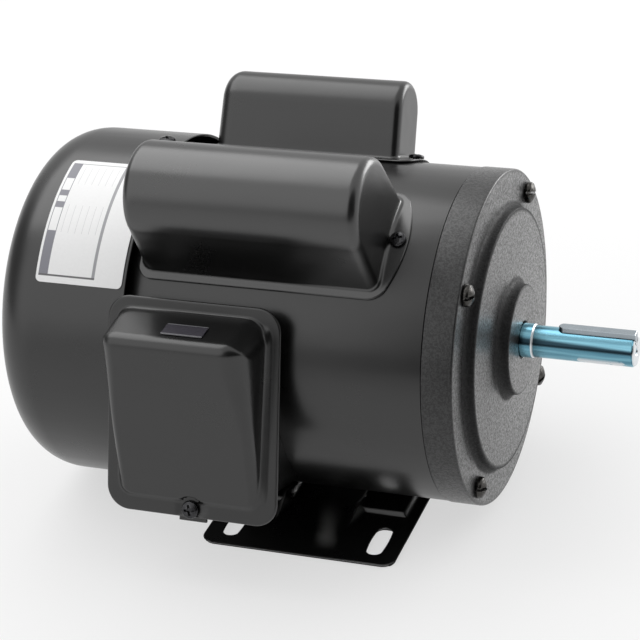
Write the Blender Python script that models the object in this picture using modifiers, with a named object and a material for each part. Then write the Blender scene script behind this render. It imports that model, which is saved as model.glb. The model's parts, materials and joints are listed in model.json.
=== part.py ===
"""Foot-mounted single-phase electric motor with two capacitors, built as an assembly.

The origin is the centre of the foot plane. +X runs along the shaft to its free end, +Z is up,
and the terminal box is on the -Y side. Angles around the shaft are measured from -Y towards +Z.
"""
import math

import bmesh
import bpy
import numpy as np
from mathutils import Matrix, Vector

MM = 0.001
GAP = 0.3 * MM             # space left between two pieces that seat on each other
OVER = 1.0 * MM            # how far a cutter runs past the face that it cuts
MERGE = 0.01 * MM

# Sheet and shell
AXIS_H = 88.9 * MM         # shaft height above the feet
FOOT_RISE = 6.5 * MM       # lowest point of the frame above the feet
FRAME_R = AXIS_H - FOOT_RISE
FRAME_WALL = 3.0 * MM
FRAME_FRONT = 72.6 * MM
FRAME_REAR = -79.0 * MM
BIG_STEPS = 40             # sides of the large round pieces
MID_STEPS = 24
RING_STEPS = 24
SMALL_STEPS = 12

# Base plate
SLOT_PITCH_X = 76.2 * MM
SLOT_PITCH_Y = 123.8 * MM
SLOT_WIDTH = 8.7 * MM
SLOT_LENGTH = 22.9 * MM
SLOT_SIDE_LAND = 8.65 * MM # metal between a slot's side and the plate's end
SLOT_END_LAND = 5.9 * MM   # metal between a slot's end and the plate's side
BASE_LENGTH = SLOT_PITCH_X + SLOT_WIDTH + 2 * SLOT_SIDE_LAND
BASE_WIDTH = SLOT_PITCH_Y + SLOT_LENGTH + 2 * SLOT_END_LAND
BASE_THICK = 2.3 * MM
BASE_CORNER = 7.0 * MM
SADDLE_X0 = 17.5 * MM      # inner end of each raised saddle
SADDLE_X1 = 45.0 * MM      # outer end of each raised saddle
SADDLE_HALF = 40.5 * MM    # half width of a saddle where it leaves the plate
SADDLE_DRAFT = 5.0 * MM    # how far its walls lean in over their height
SADDLE_RISE = 22.0 * MM

# End bells
BELL_PROUD = 0.4 * MM      # how far the front bell stands out past the frame
BELL_R = FRAME_R + BELL_PROUD
BELL_WALL = 4.4 * MM
SPIGOT_DEPTH = 6.0 * MM
SPIGOT_WALL = 2.2 * MM
RIM_X = 87.95 * MM         # front face of the rim
DISC_X = 92.86 * MM        # front face of the raised disc
DISC_INSET = 10.8 * MM     # from the bolt circle in to the disc's edge
HUB_X = 98.8 * MM          # front face of the hub boss
HUB_R = 27.1 * MM
REAR_RIM_X = -88.5 * MM
SHAFT_HOLE_R = 9.3 * MM
EAR_WIDTH = 13.0 * MM

# Shaft, in stations along X
SHAFT_R = 15.875 / 2 * MM
SHAFT_END = 155.0 * MM
SHAFT_SHOULDER = 104.2 * MM
JOURNAL_R = 8.5 * MM
ROTOR_SEAT_R = 11.0 * MM
FAN_SEAT_R = 7.9 * MM
SHAFT_TAIL = -140.5 * MM
KEY_SIZE = 4.76 * MM
KEY_START = 117.0 * MM
KEY_DEPTH = 2.5 * MM       # depth of the keyseat below the shaft's surface
END_CHAMFER = 0.9 * MM

# Bearings, 17 x 40 x 12
BEARING_R = 20.0 * MM
BEARING_WIDTH = 12.0 * MM
BALL_R = 3.2 * MM
BALL_CIRCLE_R = 14.25 * MM
BALL_COUNT = 8
BALL_PLAY = 0.4 * MM
FRONT_BEARING_X = 90.6 * MM
REAR_BEARING_X = -93.3 * MM
WASHER_THICK = 0.45 * MM
WASHER_WAVE = 0.3 * MM

# Through bolts
BOLT_INSET = 4.3 * MM      # from the frame's inner wall in to the bolt circle
BOLT_CIRCLE_R = FRAME_R - FRAME_WALL - BOLT_INSET
DISC_R = BOLT_CIRCLE_R - DISC_INSET
BOLT_R = 2.4 * MM
BOLT_HEAD_R = 5.35 * MM
BOLT_HEAD_H = 4.4 * MM
NUT_R = 4.7 * MM
NUT_H = 4.0 * MM
BOLT_ANGLES = (45, 135, 225, 315)

# Stator and rotor
STACK_HALF = 40.0 * MM
AIR_GAP = 0.4 * MM
STATOR_DEPTH = 31.15 * MM  # from the bolt circle in to the rotor
ROTOR_R = BOLT_CIRCLE_R - STATOR_DEPTH
STATOR_SLOTS = 24
YOKE_INSET = 11.4 * MM     # from the bolt circle in to the slots' bottoms
SLOT_BOTTOM_R = BOLT_CIRCLE_R - YOKE_INSET
STATOR_SLOT_W = 5.0 * MM
WINDING_REACH = 22.0 * MM  # how far the end turns stand out of the stack
WINDING_X = STACK_HALF + WINDING_REACH
TOOTH_TIP = 2.65 * MM      # from the stator's bore out to the winding
WINDING_IN_R = ROTOR_R + AIR_GAP + TOOTH_TIP
WINDING_INSET = 5.6 * MM   # from the bolt circle in to the end turns
WINDING_OUT_R = BOLT_CIRCLE_R - WINDING_INSET
END_RING_LEN = 9.5 * MM
END_RING_DEPTH = 18.95 * MM
END_RING_IN_R = ROTOR_R - END_RING_DEPTH

# Fan and its cover
AIR_OUTLET = 6.2 * MM      # radial step from the frame out to the fan cover
COVER_R = FRAME_R + AIR_OUTLET
COVER_SHEET = 1.2 * MM
COVER_FRONT = -75.8 * MM
COVER_REAR = -147.0 * MM
COVER_ROUND_X = 21.2 * MM
COVER_ROUND_R = 16.0 * MM
COVER_SCREW_X = -84.5 * MM
COVER_SCREW_ANGLES = (97, 212, 332)
FAN_TIP_GAP = 12.6 * MM    # from the cover's outside in to the fan's tips
FAN_R = COVER_R - FAN_TIP_GAP
FAN_HUB_R = 14.0 * MM
FAN_FRONT = -110.0 * MM
FAN_REAR = -133.0 * MM
FAN_HUB_REAR = -136.0 * MM
FAN_DISC = 1.8 * MM
FAN_BLADES = 8
CLIP_THICK = 1.2 * MM
CLIP_R = 11.5 * MM
LABEL_X0 = -123.5 * MM
LABEL_X1 = -77.6 * MM
LABEL_ANGLE = 57.0
LABEL_HALF = 34.3 * MM
LABEL_THICK = 0.25 * MM

# Capacitors and their covers
CAP_SHEET = 1.2 * MM
CAP_FLANGE = 3.8 * MM      # width of the flange beside the dome
CAP_TONGUE = 6.0 * MM      # half width of the tongue hooked into the frame
CAP_END_ARC_R = 55.0 * MM  # radius of the flange's rounded end
CAP_SCREW_OUT = 5.0 * MM   # screw's distance past the dome
CAP_FLANGE_OUT = 9.8 * MM  # flange's reach past the dome at the screw
CAP_FLANGE_BACK = 2.7 * MM
COVERS = {
    "start_capacitor": {"angle": 60.0, "x0": -69.8 * MM, "x1": 48.5 * MM, "half": 24.0 * MM, "foot": 26.0 * MM,
                        "rise": 51.6 * MM, "round0": 5.0 * MM, "round1": 3.0 * MM, "can_r": 22.0 * MM,
                        "can_x0": -60.0 * MM, "can_x1": 40.0 * MM},
    "run_capacitor": {"angle": 120.0, "x0": -67.6 * MM, "x1": 30.3 * MM, "half": 15.6 * MM, "foot": 15.6 * MM,
                      "rise": 39.7 * MM, "round0": 8.0 * MM, "round1": 2.2 * MM, "can_r": 13.0 * MM,
                      "can_x0": -56.0 * MM, "can_x1": 24.0 * MM},
}

# Terminal box: its mouth is a plane that leans up, and its cover is a wedge with an upright front
BOX_TILT = 18.9
BOX_X0 = -73.4 * MM
BOX_X1 = -0.6 * MM
BOX_V0 = -75.0 * MM        # lower wall, measured along the mouth plane from the shaft's height
BOX_V1 = 15.0 * MM
BOX_WALL = 1.6 * MM
BOX_DEPTH = 7.0 * MM       # how far the mouth plane clears the frame
BOX_MOUTH = FRAME_R + BOX_DEPTH
BOX_CORNER = 8.0 * MM
GASKET_THICK = 1.0 * MM
GASKET_WIDTH = 4.0 * MM
LID_SHEET = 1.2 * MM
LID_MARGIN = 7.8 * MM
LID_CORNER = 11.5 * MM
LID_LEDGE_REAR = 4.9 * MM  # flat flange beside the wedge
LID_LEDGE_FRONT = 6.2 * MM
LID_REACH = 28.4 * MM      # how far the upright front clears the frame
LID_FRONT_Y = -FRAME_R - LID_REACH
LID_TOP_Z = 46.4 * MM      # top of the wedge above the shaft's axis
LID_EDGE = 4.0 * MM
LID_DRAFT = 2.2 * MM
LID_SCREW_V = BOX_V0 - 3.6 * MM
LID_SCREW_HEAD_R = 4.4 * MM
LID_SCREW_HEAD_H = 2.2 * MM
LID_SCREW_REACH = 6.0 * MM # the screw's length past the box's mouth
TAB_WIDTH = 14.0 * MM
TAB_REACH = 10.3 * MM
KNOCKOUT_R = 10.9 * MM
KNOCKOUT_DEPTH = 27.4 * MM # from the mouth plane in to the knockout's centre
TAG_X0 = -44.6 * MM
TAG_X1 = -23.7 * MM
TAG_Y0 = LID_FRONT_Y + 7.2 * MM
TAG_Y1 = LID_FRONT_Y + 16.6 * MM
TAG_THICK = 0.5 * MM
LEAD_X = -STACK_HALF - 14.0 * MM        # where the leads leave the frame, behind the stack
GROUND_X = -60.0 * MM
GROUND_ANGLE = -22
GROUND_SCREW_R = 1.5 * MM
GROMMET_R = 9.0 * MM
GROMMET_WALL = 2.5 * MM
BOARD_LIFT = 10.0 * MM     # from the box's lower wall up to the terminal board
BOARD_LENGTH = 28.0 * MM
BOARD_WIDTH = 11.2 * MM
BOARD_COVER_GAP = 2.2 * MM # from the mouth plane in to the terminal board
BOARD_THICK = 3.0 * MM
STUD_R = 1.9 * MM
STUD_PITCH = 9.0 * MM

# Centrifugal switch
GOVERNOR_STANDOFF = 3.2 * MM
GOVERNOR_DISC_X = -STACK_HALF - GAP - END_RING_LEN - GOVERNOR_STANDOFF
PIVOT_X = GOVERNOR_DISC_X - 9.0 * MM
PIVOT_R = 22.0 * MM
PIN_R = 1.2 * MM
PIN_PLAY = 0.15 * MM
WEIGHT_HALF = 4.0 * MM
EAR_THICK = 1.5 * MM
GOVERNOR_DISC_R = 26.0 * MM
SPOOL_REAR = PIVOT_X - 6.5 * MM
SPOOL_FRONT = PIVOT_X + 3.2 * MM
SPOOL_R = 19.0 * MM
SPOOL_GROOVE_R = 13.5 * MM
SPOOL_WALL_R = 17.0 * MM
FINGER_HALF = 0.8 * MM
GROOVE_HALF = 2.0 * MM
SWITCH_BOARD_THICK = 2.0 * MM
SWITCH_BOARD_HALF = 23.0 * MM
SWITCH_BOARD_LOW = -60.0 * MM
SWITCH_BOARD_TOP = -21.0 * MM
BOARD_PIN_INSET = 6.0 * MM
BOARD_PIN_R = 1.6 * MM
ARM_THICK = 1.4 * MM
ARM_PIVOT_Z = -38.0 * MM
ARM_TIP_Z = -15.5 * MM
CONTACT_Z = -24.0 * MM
CONTACT_R = 2.0 * MM


# ---------------------------------------------------------------- scene helpers

def clear_scene():
    """Removes every object that the file opens with."""
    for obj in list(bpy.data.objects):
        bpy.data.objects.remove(obj, do_unlink=True)


def new_collection(name):
    """A collection linked to the scene."""
    collection = bpy.data.collections.new(name)
    bpy.context.scene.collection.children.link(collection)
    return collection


def make_material(name, color, roughness, metallic):
    """One plain Principled material."""
    material = bpy.data.materials.new(name)
    material.use_nodes = True
    shader = material.node_tree.nodes["Principled BSDF"]
    shader.inputs["Base Color"].default_value = (*color, 1.0)
    shader.inputs["Roughness"].default_value = roughness
    shader.inputs["Metallic"].default_value = metallic
    return material


def add_object(name, mesh, material, frame):
    """Links a mesh as one object. With no material it is a cutter or a tool of a union."""
    obj = bpy.data.objects.new(name, mesh)
    obj.matrix_world = frame
    if material is None:
        CUTTERS.objects.link(obj)
        obj.hide_render = True
        obj.display_type = "WIRE"
    else:
        PARTS.objects.link(obj)
        mesh.materials.append(material)
    mesh.shade_smooth()
    mesh.set_sharp_from_angle(angle=math.radians(35))
    return obj


def boolean(obj, operation, *tools):
    """Adds one exact Boolean for each tool, in order."""
    for tool in tools:
        modifier = obj.modifiers.new(tool.name, "BOOLEAN")
        modifier.operation = operation
        modifier.solver = "EXACT"
        modifier.object = tool
    return obj


# ---------------------------------------------------------------- frames of reference

def radial_frame(angle):
    """Local X along the shaft, local Y around it, local Z outwards at that angle."""
    a = math.radians(angle)
    columns = ((1, 0, 0), (0, math.sin(a), math.cos(a)), (0, -math.cos(a), math.sin(a)))
    frame = Matrix(columns).transposed().to_4x4()
    frame.translation = (0, 0, AXIS_H)
    return frame


def section_frame(angle):
    """Local X around the shaft, local Y outwards at that angle, local Z along the shaft."""
    swap = Matrix(((0, 0, 1), (1, 0, 0), (0, 1, 0))).to_4x4()
    return radial_frame(angle) @ swap


def shaft_frame():
    """Local Z along the shaft's axis, for turned pieces, with a flat of the frame at each main angle."""
    half_flat = Matrix.Rotation(math.pi / BIG_STEPS, 4, "Z")
    return Matrix.Translation((0, 0, AXIS_H)) @ Matrix.Rotation(math.radians(90), 4, "Y") @ half_flat


def bolt_frame(angle):
    """Local Z along +X, on the bolt circle."""
    a = math.radians(angle)
    place = Vector((0, -BOLT_CIRCLE_R * math.cos(a), AXIS_H + BOLT_CIRCLE_R * math.sin(a)))
    return Matrix.Translation(place) @ Matrix.Rotation(math.radians(90), 4, "Y")


def shifted(frame, x, y, z):
    """A frame moved along its own axes."""
    return frame @ Matrix.Translation((x, y, z))


# ---------------------------------------------------------------- shape helpers

def turned(name, profile, material, frame, steps, ring=False):
    """Spins (station, radius) points about local Z. The points run down the outer side."""
    mesh = bpy.data.meshes.new(name)
    bm = bmesh.new()
    verts = [bm.verts.new((radius, 0, station)) for station, radius in profile]
    for first, second in zip(verts, verts[1:]):
        bm.edges.new((first, second))
    if ring:
        bm.edges.new((verts[-1], verts[0]))
    bm.to_mesh(mesh)
    bm.free()
    obj = add_object(name, mesh, material, frame)
    screw = obj.modifiers.new("Turn", "SCREW")
    screw.steps = steps
    screw.render_steps = steps
    screw.use_merge_vertices = True
    screw.merge_threshold = MERGE
    screw.use_smooth_shade = True
    return obj


def block(name, low, high, material=None, frame=None, edge=0.0, segments=2):
    """A box between two corners of its frame, with rounded edges if edge is given."""
    mesh = bpy.data.meshes.new(name)
    bm = bmesh.new()
    bmesh.ops.create_cube(bm, size=1.0)
    size = Vector(high) - Vector(low)
    bmesh.ops.scale(bm, vec=size, verts=bm.verts)
    bmesh.ops.translate(bm, vec=(Vector(high) + Vector(low)) / 2, verts=bm.verts)
    if edge:
        bmesh.ops.bevel(bm, geom=list(bm.edges), offset=edge, segments=segments, affect="EDGES", profile=0.5)
    bm.to_mesh(mesh)
    bm.free()
    return add_object(name, mesh, material, frame if frame else Matrix.Translation((0, 0, AXIS_H)))


def rod(name, radius, z_low, z_high, frame, steps, material=None):
    """A cylinder on local Z between two stations."""
    mesh = bpy.data.meshes.new(name)
    bm = bmesh.new()
    bmesh.ops.create_cone(bm, cap_ends=True, segments=steps, radius1=radius, radius2=radius, depth=z_high - z_low)
    bmesh.ops.translate(bm, vec=(0, 0, (z_high + z_low) / 2), verts=bm.verts)
    bm.to_mesh(mesh)
    bm.free()
    return add_object(name, mesh, material, frame)


def flat_piece(name, outlines, z_low, z_high, material, frame):
    """An extruded flat outline. Outlines after the first are holes in it."""
    curve = bpy.data.curves.new(name, "CURVE")
    curve.dimensions = "2D"
    curve.fill_mode = "BOTH"
    curve.extrude = (z_high - z_low) / 2
    for points in outlines:
        spline = curve.splines.new("POLY")
        spline.points.add(len(points) - 1)
        for point, (x, y) in zip(spline.points, points):
            point.co = (x, y, 0, 1)
        spline.use_cyclic_u = True
    source = bpy.data.objects.new(name, curve)
    bpy.context.scene.collection.objects.link(source)
    graph = bpy.context.evaluated_depsgraph_get()
    mesh = bpy.data.meshes.new_from_object(source.evaluated_get(graph))
    bpy.data.objects.remove(source)
    bm = bmesh.new()
    bm.from_mesh(mesh)
    bmesh.ops.remove_doubles(bm, verts=bm.verts, dist=MERGE)
    bmesh.ops.translate(bm, vec=(0, 0, (z_high + z_low) / 2), verts=bm.verts)
    bmesh.ops.recalc_face_normals(bm, faces=bm.faces)
    bm.to_mesh(mesh)
    bm.free()
    mesh.materials.clear()
    return add_object(name, mesh, material, frame)


def arc(cx, cy, radius, start, stop, count):
    """Points on a circle from one angle to another, in degrees, ends included."""
    turns = np.radians(np.linspace(start, stop, count))
    return [(cx + radius * math.cos(t), cy + radius * math.sin(t)) for t in turns]


def rounded_rect(x0, x1, y0, y1, radius, count=5):
    """A rectangle with round corners, anticlockwise."""
    corners = ((x1, y0, -90), (x1, y1, 0), (x0, y1, 90), (x0, y0, 180))
    points = []
    for x, y, start in corners:
        cx = x - radius if x == x1 else x + radius
        cy = y - radius if y == y1 else y + radius
        points += arc(cx, cy, radius, start, start + 90, count)
    return points


def circle(cx, cy, radius, count):
    """A whole circle of points."""
    return arc(cx, cy, radius, 0, 360 * (1 - 1 / count), count)


def dome_mesh(name, spec, inset, floor_r):
    """A long dome with a round top, shrunk by inset, that reaches down to floor_r."""
    half = spec["half"] - inset
    foot = spec["foot"] - inset
    centre = FRAME_R + spec["rise"] - spec["half"]
    section = [(foot, floor_r)] + arc(0, centre, half, 0, 180, 11) + [(-foot, floor_r)]
    x0 = spec["x0"] + inset
    x1 = spec["x1"] - inset
    mesh = bpy.data.meshes.new(name)
    bm = bmesh.new()
    first = [bm.verts.new((x, y, x0)) for x, y in section]
    cap = bm.faces.new(first)
    moved = bmesh.ops.extrude_face_region(bm, geom=[cap])
    top = [item for item in moved["geom"] if isinstance(item, bmesh.types.BMVert)]
    bmesh.ops.translate(bm, vec=(0, 0, x1 - x0), verts=top)
    bmesh.ops.recalc_face_normals(bm, faces=bm.faces)
    for station, size in ((x0, spec["round0"] - inset), (x1, spec["round1"] - inset)):
        rim = [e for e in bm.edges if all(abs(v.co.z - station) < MERGE for v in e.verts)]
        bmesh.ops.bevel(bm, geom=rim, offset=max(size, inset / 2), segments=2, affect="EDGES", profile=0.5)
    bm.to_mesh(mesh)
    bm.free()
    return mesh


def screw_piece(name, frame, head_r, head_h, shank_r, shank, material, seat=0.0):
    """A pan-head screw with a slot, its head's underside at local Z = seat."""
    profile = [(head_h, 0), (head_h, head_r * 0.6), (head_h * 0.5, head_r), (0, head_r), (0, shank_r),
               (-shank, shank_r), (-shank, 0)]
    obj = turned(name, profile, material, shifted(frame, 0, 0, seat), SMALL_STEPS)
    slot = block(name + "_slot", (-0.5 * MM, -head_r * 0.8, head_h * 0.5), (0.5 * MM, head_r * 0.8, head_h * 2),
                 frame=shifted(frame, 0, 0, seat))
    return boolean(obj, "DIFFERENCE", slot)


# ---------------------------------------------------------------- housings

def shell_clearance():
    """The frame's outside plus the gap: what every piece seated on the frame is cut with."""
    return rod("frame_clearance", FRAME_R + GAP, COVER_REAR, FRAME_FRONT, shaft_frame(), BIG_STEPS)


def build_frame_shell():
    """Rolled steel tube with openings for leads, hooked tongues and screws."""
    inner = FRAME_R - FRAME_WALL
    profile = [(FRAME_FRONT, inner), (FRAME_FRONT, FRAME_R), (FRAME_REAR, FRAME_R), (FRAME_REAR, inner)]
    shell = turned("frame_shell", profile, BLACK_PAINT, shaft_frame(), BIG_STEPS, ring=True)
    cuts = [rod("lead_window", GROMMET_R, inner - OVER, FRAME_R + OVER,
                shifted(radial_frame(0), LEAD_X, 0, 0), 24)]
    cuts.append(rod("ground_hole", GROUND_SCREW_R + GAP, inner - OVER, FRAME_R + OVER,
                    shifted(radial_frame(GROUND_ANGLE), GROUND_X, 0, 0), 12))
    for key, spec in COVERS.items():
        frame = radial_frame(spec["angle"])
        cuts.append(rod(key + "_tap", CAP_SCREW_R + GAP, inner - OVER, FRAME_R + OVER,
                        shifted(frame, spec["x1"] + CAP_SCREW_OUT, 0, 0), 12))
        cuts.append(rod(key + "_lead_hole", 4 * MM, inner - OVER, FRAME_R + OVER,
                        shifted(frame, LEAD_X, 0, 0), 12))
        x0, x1 = tongue_span(spec)
        reach = CAP_TONGUE + GAP * 2
        cuts.append(block(key + "_tongue_slot", (x0 - GAP * 2, -reach, inner - OVER * 3),
                          (x1 + GAP * 2, reach, FRAME_R + OVER), frame=frame))
    return boolean(shell, "DIFFERENCE", *cuts)


def build_base_plate():
    """Pressed steel foot plate with four slots and two raised saddles under the frame."""
    outline = rounded_rect(-BASE_LENGTH / 2, BASE_LENGTH / 2, -BASE_WIDTH / 2, BASE_WIDTH / 2, BASE_CORNER)
    slots = []
    for sx in (-1, 1):
        for sy in (-1, 1):
            cx = sx * SLOT_PITCH_X / 2
            cy = sy * SLOT_PITCH_Y / 2
            straight = (SLOT_LENGTH - SLOT_WIDTH) / 2
            slots.append(arc(cx, cy + straight, SLOT_WIDTH / 2, 0, 180, 9)
                         + arc(cx, cy - straight, SLOT_WIDTH / 2, 180, 360, 9))
    plate = flat_piece("base_plate", [outline] + slots, 0, BASE_THICK, BLACK_PAINT, Matrix())
    under = rod("saddle_underside", FRAME_R + GAP + BASE_THICK, -BASE_LENGTH, BASE_LENGTH, shaft_frame(), BIG_STEPS)
    clearance = bpy.data.objects["frame_clearance"]
    for side, sign in (("front", 1), ("rear", -1)):
        saddle = saddle_block(side + "_saddle", sign, 0, BASE_THICK / 2)
        boolean(saddle, "DIFFERENCE", clearance)
        hollow = saddle_block(side + "_saddle_hollow", sign, BASE_THICK, -OVER)
        boolean(hollow, "DIFFERENCE", under)
        boolean(plate, "UNION", saddle)
        boolean(plate, "DIFFERENCE", hollow)
    return plate


def saddle_block(name, sign, inset, z_low):
    """A block that leans in on its long sides; the frame's cylinder cuts its top away."""
    x0, x1 = sorted((sign * (SADDLE_X0 + inset), sign * (SADDLE_X1 - inset)))
    half = SADDLE_HALF - inset
    obj = block(name, (x0, -half, z_low), (x1, half, SADDLE_RISE), frame=Matrix())
    for vert in obj.data.vertices:
        if vert.co.z > z_low + MERGE:
            vert.co.y -= math.copysign(SADDLE_DRAFT, vert.co.y)
    return obj


def build_front_bell():
    """Cast end bell: rim, raised disc, hub boss and an open bearing pocket behind."""
    pocket = FRONT_BEARING_X + BEARING_WIDTH / 2 + GAP
    hub_in = FRONT_BEARING_X - BEARING_WIDTH / 2 - GAP * 2
    skirt = FRAME_FRONT + GAP
    spigot = FRAME_R - FRAME_WALL - GAP
    bore = BEARING_R + GAP
    profile = [(HUB_X, SHAFT_HOLE_R), (HUB_X, HUB_R - 1 * MM), (HUB_X - 1 * MM, HUB_R), (DISC_X, HUB_R + 0.5 * MM),
               (DISC_X, DISC_R - 1 * MM), (DISC_X - 1 * MM, DISC_R), (RIM_X, DISC_R + 0.5 * MM),
               (RIM_X, BELL_R - 1.8 * MM), (RIM_X - 1.8 * MM, BELL_R), (skirt, BELL_R), (skirt, spigot),
               (skirt - SPIGOT_DEPTH, spigot),
               (skirt - SPIGOT_DEPTH, spigot - SPIGOT_WALL), (RIM_X - BELL_WALL - 3 * MM, spigot - SPIGOT_WALL),
               (RIM_X - BELL_WALL, spigot - SPIGOT_WALL - 3 * MM), (RIM_X - BELL_WALL, DISC_R - 2 * MM),
               (DISC_X - BELL_WALL, DISC_R - 6 * MM), (DISC_X - BELL_WALL, HUB_R + 3 * MM),
               (hub_in, HUB_R + 1 * MM), (hub_in, bore), (pocket, bore), (pocket, SHAFT_HOLE_R)]
    bell = turned("front_end_bell", profile, CAST_BLACK, shaft_frame(), BIG_STEPS, ring=True)
    holes = [rod(f"front_bolt_hole_{i}", BOLT_R + GAP, skirt - SPIGOT_DEPTH - OVER, RIM_X + OVER, bolt_frame(a), 12)
             for i, a in enumerate(BOLT_ANGLES, 1)]
    return boolean(bell, "DIFFERENCE", *holes)


def build_rear_bell():
    """Cast rear bell with a bearing pocket, ears for the fan cover and pins for the switch board."""
    pocket = REAR_BEARING_X - BEARING_WIDTH / 2 - GAP * 2 - WASHER_THICK - WASHER_WAVE * 2
    back = pocket - 2.2 * MM
    skirt = FRAME_REAR - GAP
    spigot = FRAME_R - FRAME_WALL - GAP
    bore = BEARING_R + GAP
    wall = rear_wall_x()
    profile = [(wall, bore), (wall, spigot - SPIGOT_WALL - 4 * MM), (wall + 4 * MM, spigot - SPIGOT_WALL),
               (skirt + SPIGOT_DEPTH, spigot - SPIGOT_WALL), (skirt + SPIGOT_DEPTH, spigot), (skirt, spigot),
               (skirt, FRAME_R), (REAR_RIM_X + 1 * MM, FRAME_R), (REAR_RIM_X, FRAME_R - 1 * MM),
               (REAR_RIM_X, HUB_R + 2 * MM), (back + 1 * MM, HUB_R), (back, HUB_R - 1 * MM),
               (back, SHAFT_HOLE_R), (pocket, SHAFT_HOLE_R), (pocket, bore)]
    bell = turned("rear_end_bell", profile, CAST_BLACK, shaft_frame(), BIG_STEPS, ring=True)
    reach = (COVER_R - COVER_SHEET) * math.cos(math.pi / BIG_STEPS) - GAP
    top = math.sqrt(reach ** 2 - (EAR_WIDTH / 2) ** 2)
    for i, angle in enumerate(COVER_SCREW_ANGLES, 1):
        ear = block(f"cover_ear_{i}", (REAR_RIM_X + 0.5 * MM, -EAR_WIDTH / 2, spigot - 1 * MM),
                    (skirt - 0.5 * MM, EAR_WIDTH / 2, top), frame=radial_frame(angle))
        boolean(bell, "UNION", ear)
    for i, y in enumerate(board_pin_places(), 1):
        pin = rod(f"board_pin_{i}", BOARD_PIN_R, wall - 1 * MM, wall + GAP + SWITCH_BOARD_THICK + 1 * MM,
                  pin_frame(y), 12)
        boolean(bell, "UNION", pin)
    holes = [rod(f"rear_bolt_hole_{i}", BOLT_R + GAP, REAR_RIM_X - OVER, skirt + SPIGOT_DEPTH + OVER, bolt_frame(a), 12)
             for i, a in enumerate(BOLT_ANGLES, 1)]
    holes += [rod(f"ear_hole_{i}", COVER_SCREW_R + GAP, COVER_SCREW_FLOOR - GAP, COVER_R,
                  shifted(radial_frame(a), COVER_SCREW_X, 0, 0), 12)
              for i, a in enumerate(COVER_SCREW_ANGLES, 1)]
    return boolean(bell, "DIFFERENCE", *holes)


def rear_wall_x():
    """Inner face of the rear bell's wall."""
    return REAR_RIM_X + BELL_WALL


def board_pin_places():
    """Sideways places of the two pins that carry the switch board."""
    return (BOARD_PIN_INSET - SWITCH_BOARD_HALF, SWITCH_BOARD_HALF - BOARD_PIN_INSET)


def pin_frame(y):
    """Local Z along the shaft, at one board pin."""
    return Matrix.Translation((0, y, AXIS_H + SWITCH_BOARD_LOW + BOARD_PIN_INSET)) @ Matrix.Rotation(math.radians(90), 4, "Y")


def build_through_bolt(number, angle):
    """A long bolt from the front rim to a hex nut behind the rear bell."""
    seat = RIM_X + GAP
    tail = REAR_RIM_X - GAP - NUT_H - 1.5 * MM
    screw_piece(f"through_bolt_{number}", bolt_frame(angle), BOLT_HEAD_R, BOLT_HEAD_H, BOLT_R, seat - tail,
                ZINC, seat)
    nut_low = REAR_RIM_X - GAP - NUT_H
    nut = rod(f"bolt_nut_{number}", NUT_R, nut_low, nut_low + NUT_H, bolt_frame(angle), 6, ZINC)
    hole = rod(f"nut_hole_{number}", BOLT_R + GAP, nut_low - OVER, nut_low + NUT_H + OVER, bolt_frame(angle), 12)
    boolean(nut, "DIFFERENCE", hole)


# ---------------------------------------------------------------- stator and rotor

def build_stator():
    """Slotted core with notches for the bolts, and the winding that runs through its slots."""
    outer = []
    core_r = FRAME_R - FRAME_WALL - GAP
    notch = math.degrees(3.6 * MM / core_r)
    for angle in BOLT_ANGLES:
        outer += arc(0, 0, core_r, angle - 90 + notch, angle - notch, 12)
        cx = (BOLT_CIRCLE_R - 3.4 * MM)
        outer += [rotated((cx, -3.6 * MM), angle), rotated((cx, 3.6 * MM), angle)]
    inner = []
    bore_r = ROTOR_R + AIR_GAP
    half = STATOR_SLOT_W / 2
    pitch = 360 / STATOR_SLOTS
    for i in range(STATOR_SLOTS):
        edge = math.degrees(math.asin(half / bore_r))
        inner += arc(0, 0, bore_r, (i - 1) * pitch + edge, i * pitch - edge, 2)
        inner += [rotated((SLOT_BOTTOM_R, -half), i * pitch), rotated((SLOT_BOTTOM_R, half), i * pitch)]
    flat_piece("stator_core", [outer, inner], -STACK_HALF, STACK_HALF, LAMINATION, section_frame(0))

    near = STACK_HALF + GAP
    profile = [(WINDING_X, WINDING_IN_R + 5 * MM), (WINDING_X, WINDING_OUT_R - 5 * MM),
               (WINDING_X - 4 * MM, WINDING_OUT_R), (near + 3 * MM, WINDING_OUT_R), (near, SLOT_BOTTOM_R),
               (near, WINDING_IN_R), (WINDING_X - 4 * MM, WINDING_IN_R)]
    winding = turned("stator_winding", profile, COPPER, shaft_frame(), RING_STEPS, ring=True)
    mirrored = [(-x, r) for x, r in reversed(profile)]
    boolean(winding, "UNION", turned("rear_end_turns", mirrored, None, shaft_frame(), RING_STEPS, ring=True))
    bars = bpy.data.meshes.new("slot_bars")
    bm = bmesh.new()
    for i in range(STATOR_SLOTS):
        spin = Matrix.Rotation(math.radians(i * pitch), 4, "Z")
        made = bmesh.ops.create_cube(bm, size=1.0)["verts"]
        size = (SLOT_BOTTOM_R - GAP - WINDING_IN_R - 1 * MM, STATOR_SLOT_W - 2 * GAP, 2 * (near + 4 * MM))
        bmesh.ops.scale(bm, vec=size, verts=made)
        centre = (SLOT_BOTTOM_R - GAP + WINDING_IN_R + 1 * MM) / 2
        bmesh.ops.translate(bm, vec=(centre, 0, 0), verts=made)
        bmesh.ops.transform(bm, matrix=spin, verts=made)
    bm.to_mesh(bars)
    bm.free()
    boolean(winding, "UNION", add_object("slot_bars", bars, None, section_frame(0)))


def rotated(point, angle):
    """A flat point turned about the origin."""
    a = math.radians(angle)
    return (point[0] * math.cos(a) - point[1] * math.sin(a), point[0] * math.sin(a) + point[1] * math.cos(a))


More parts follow.
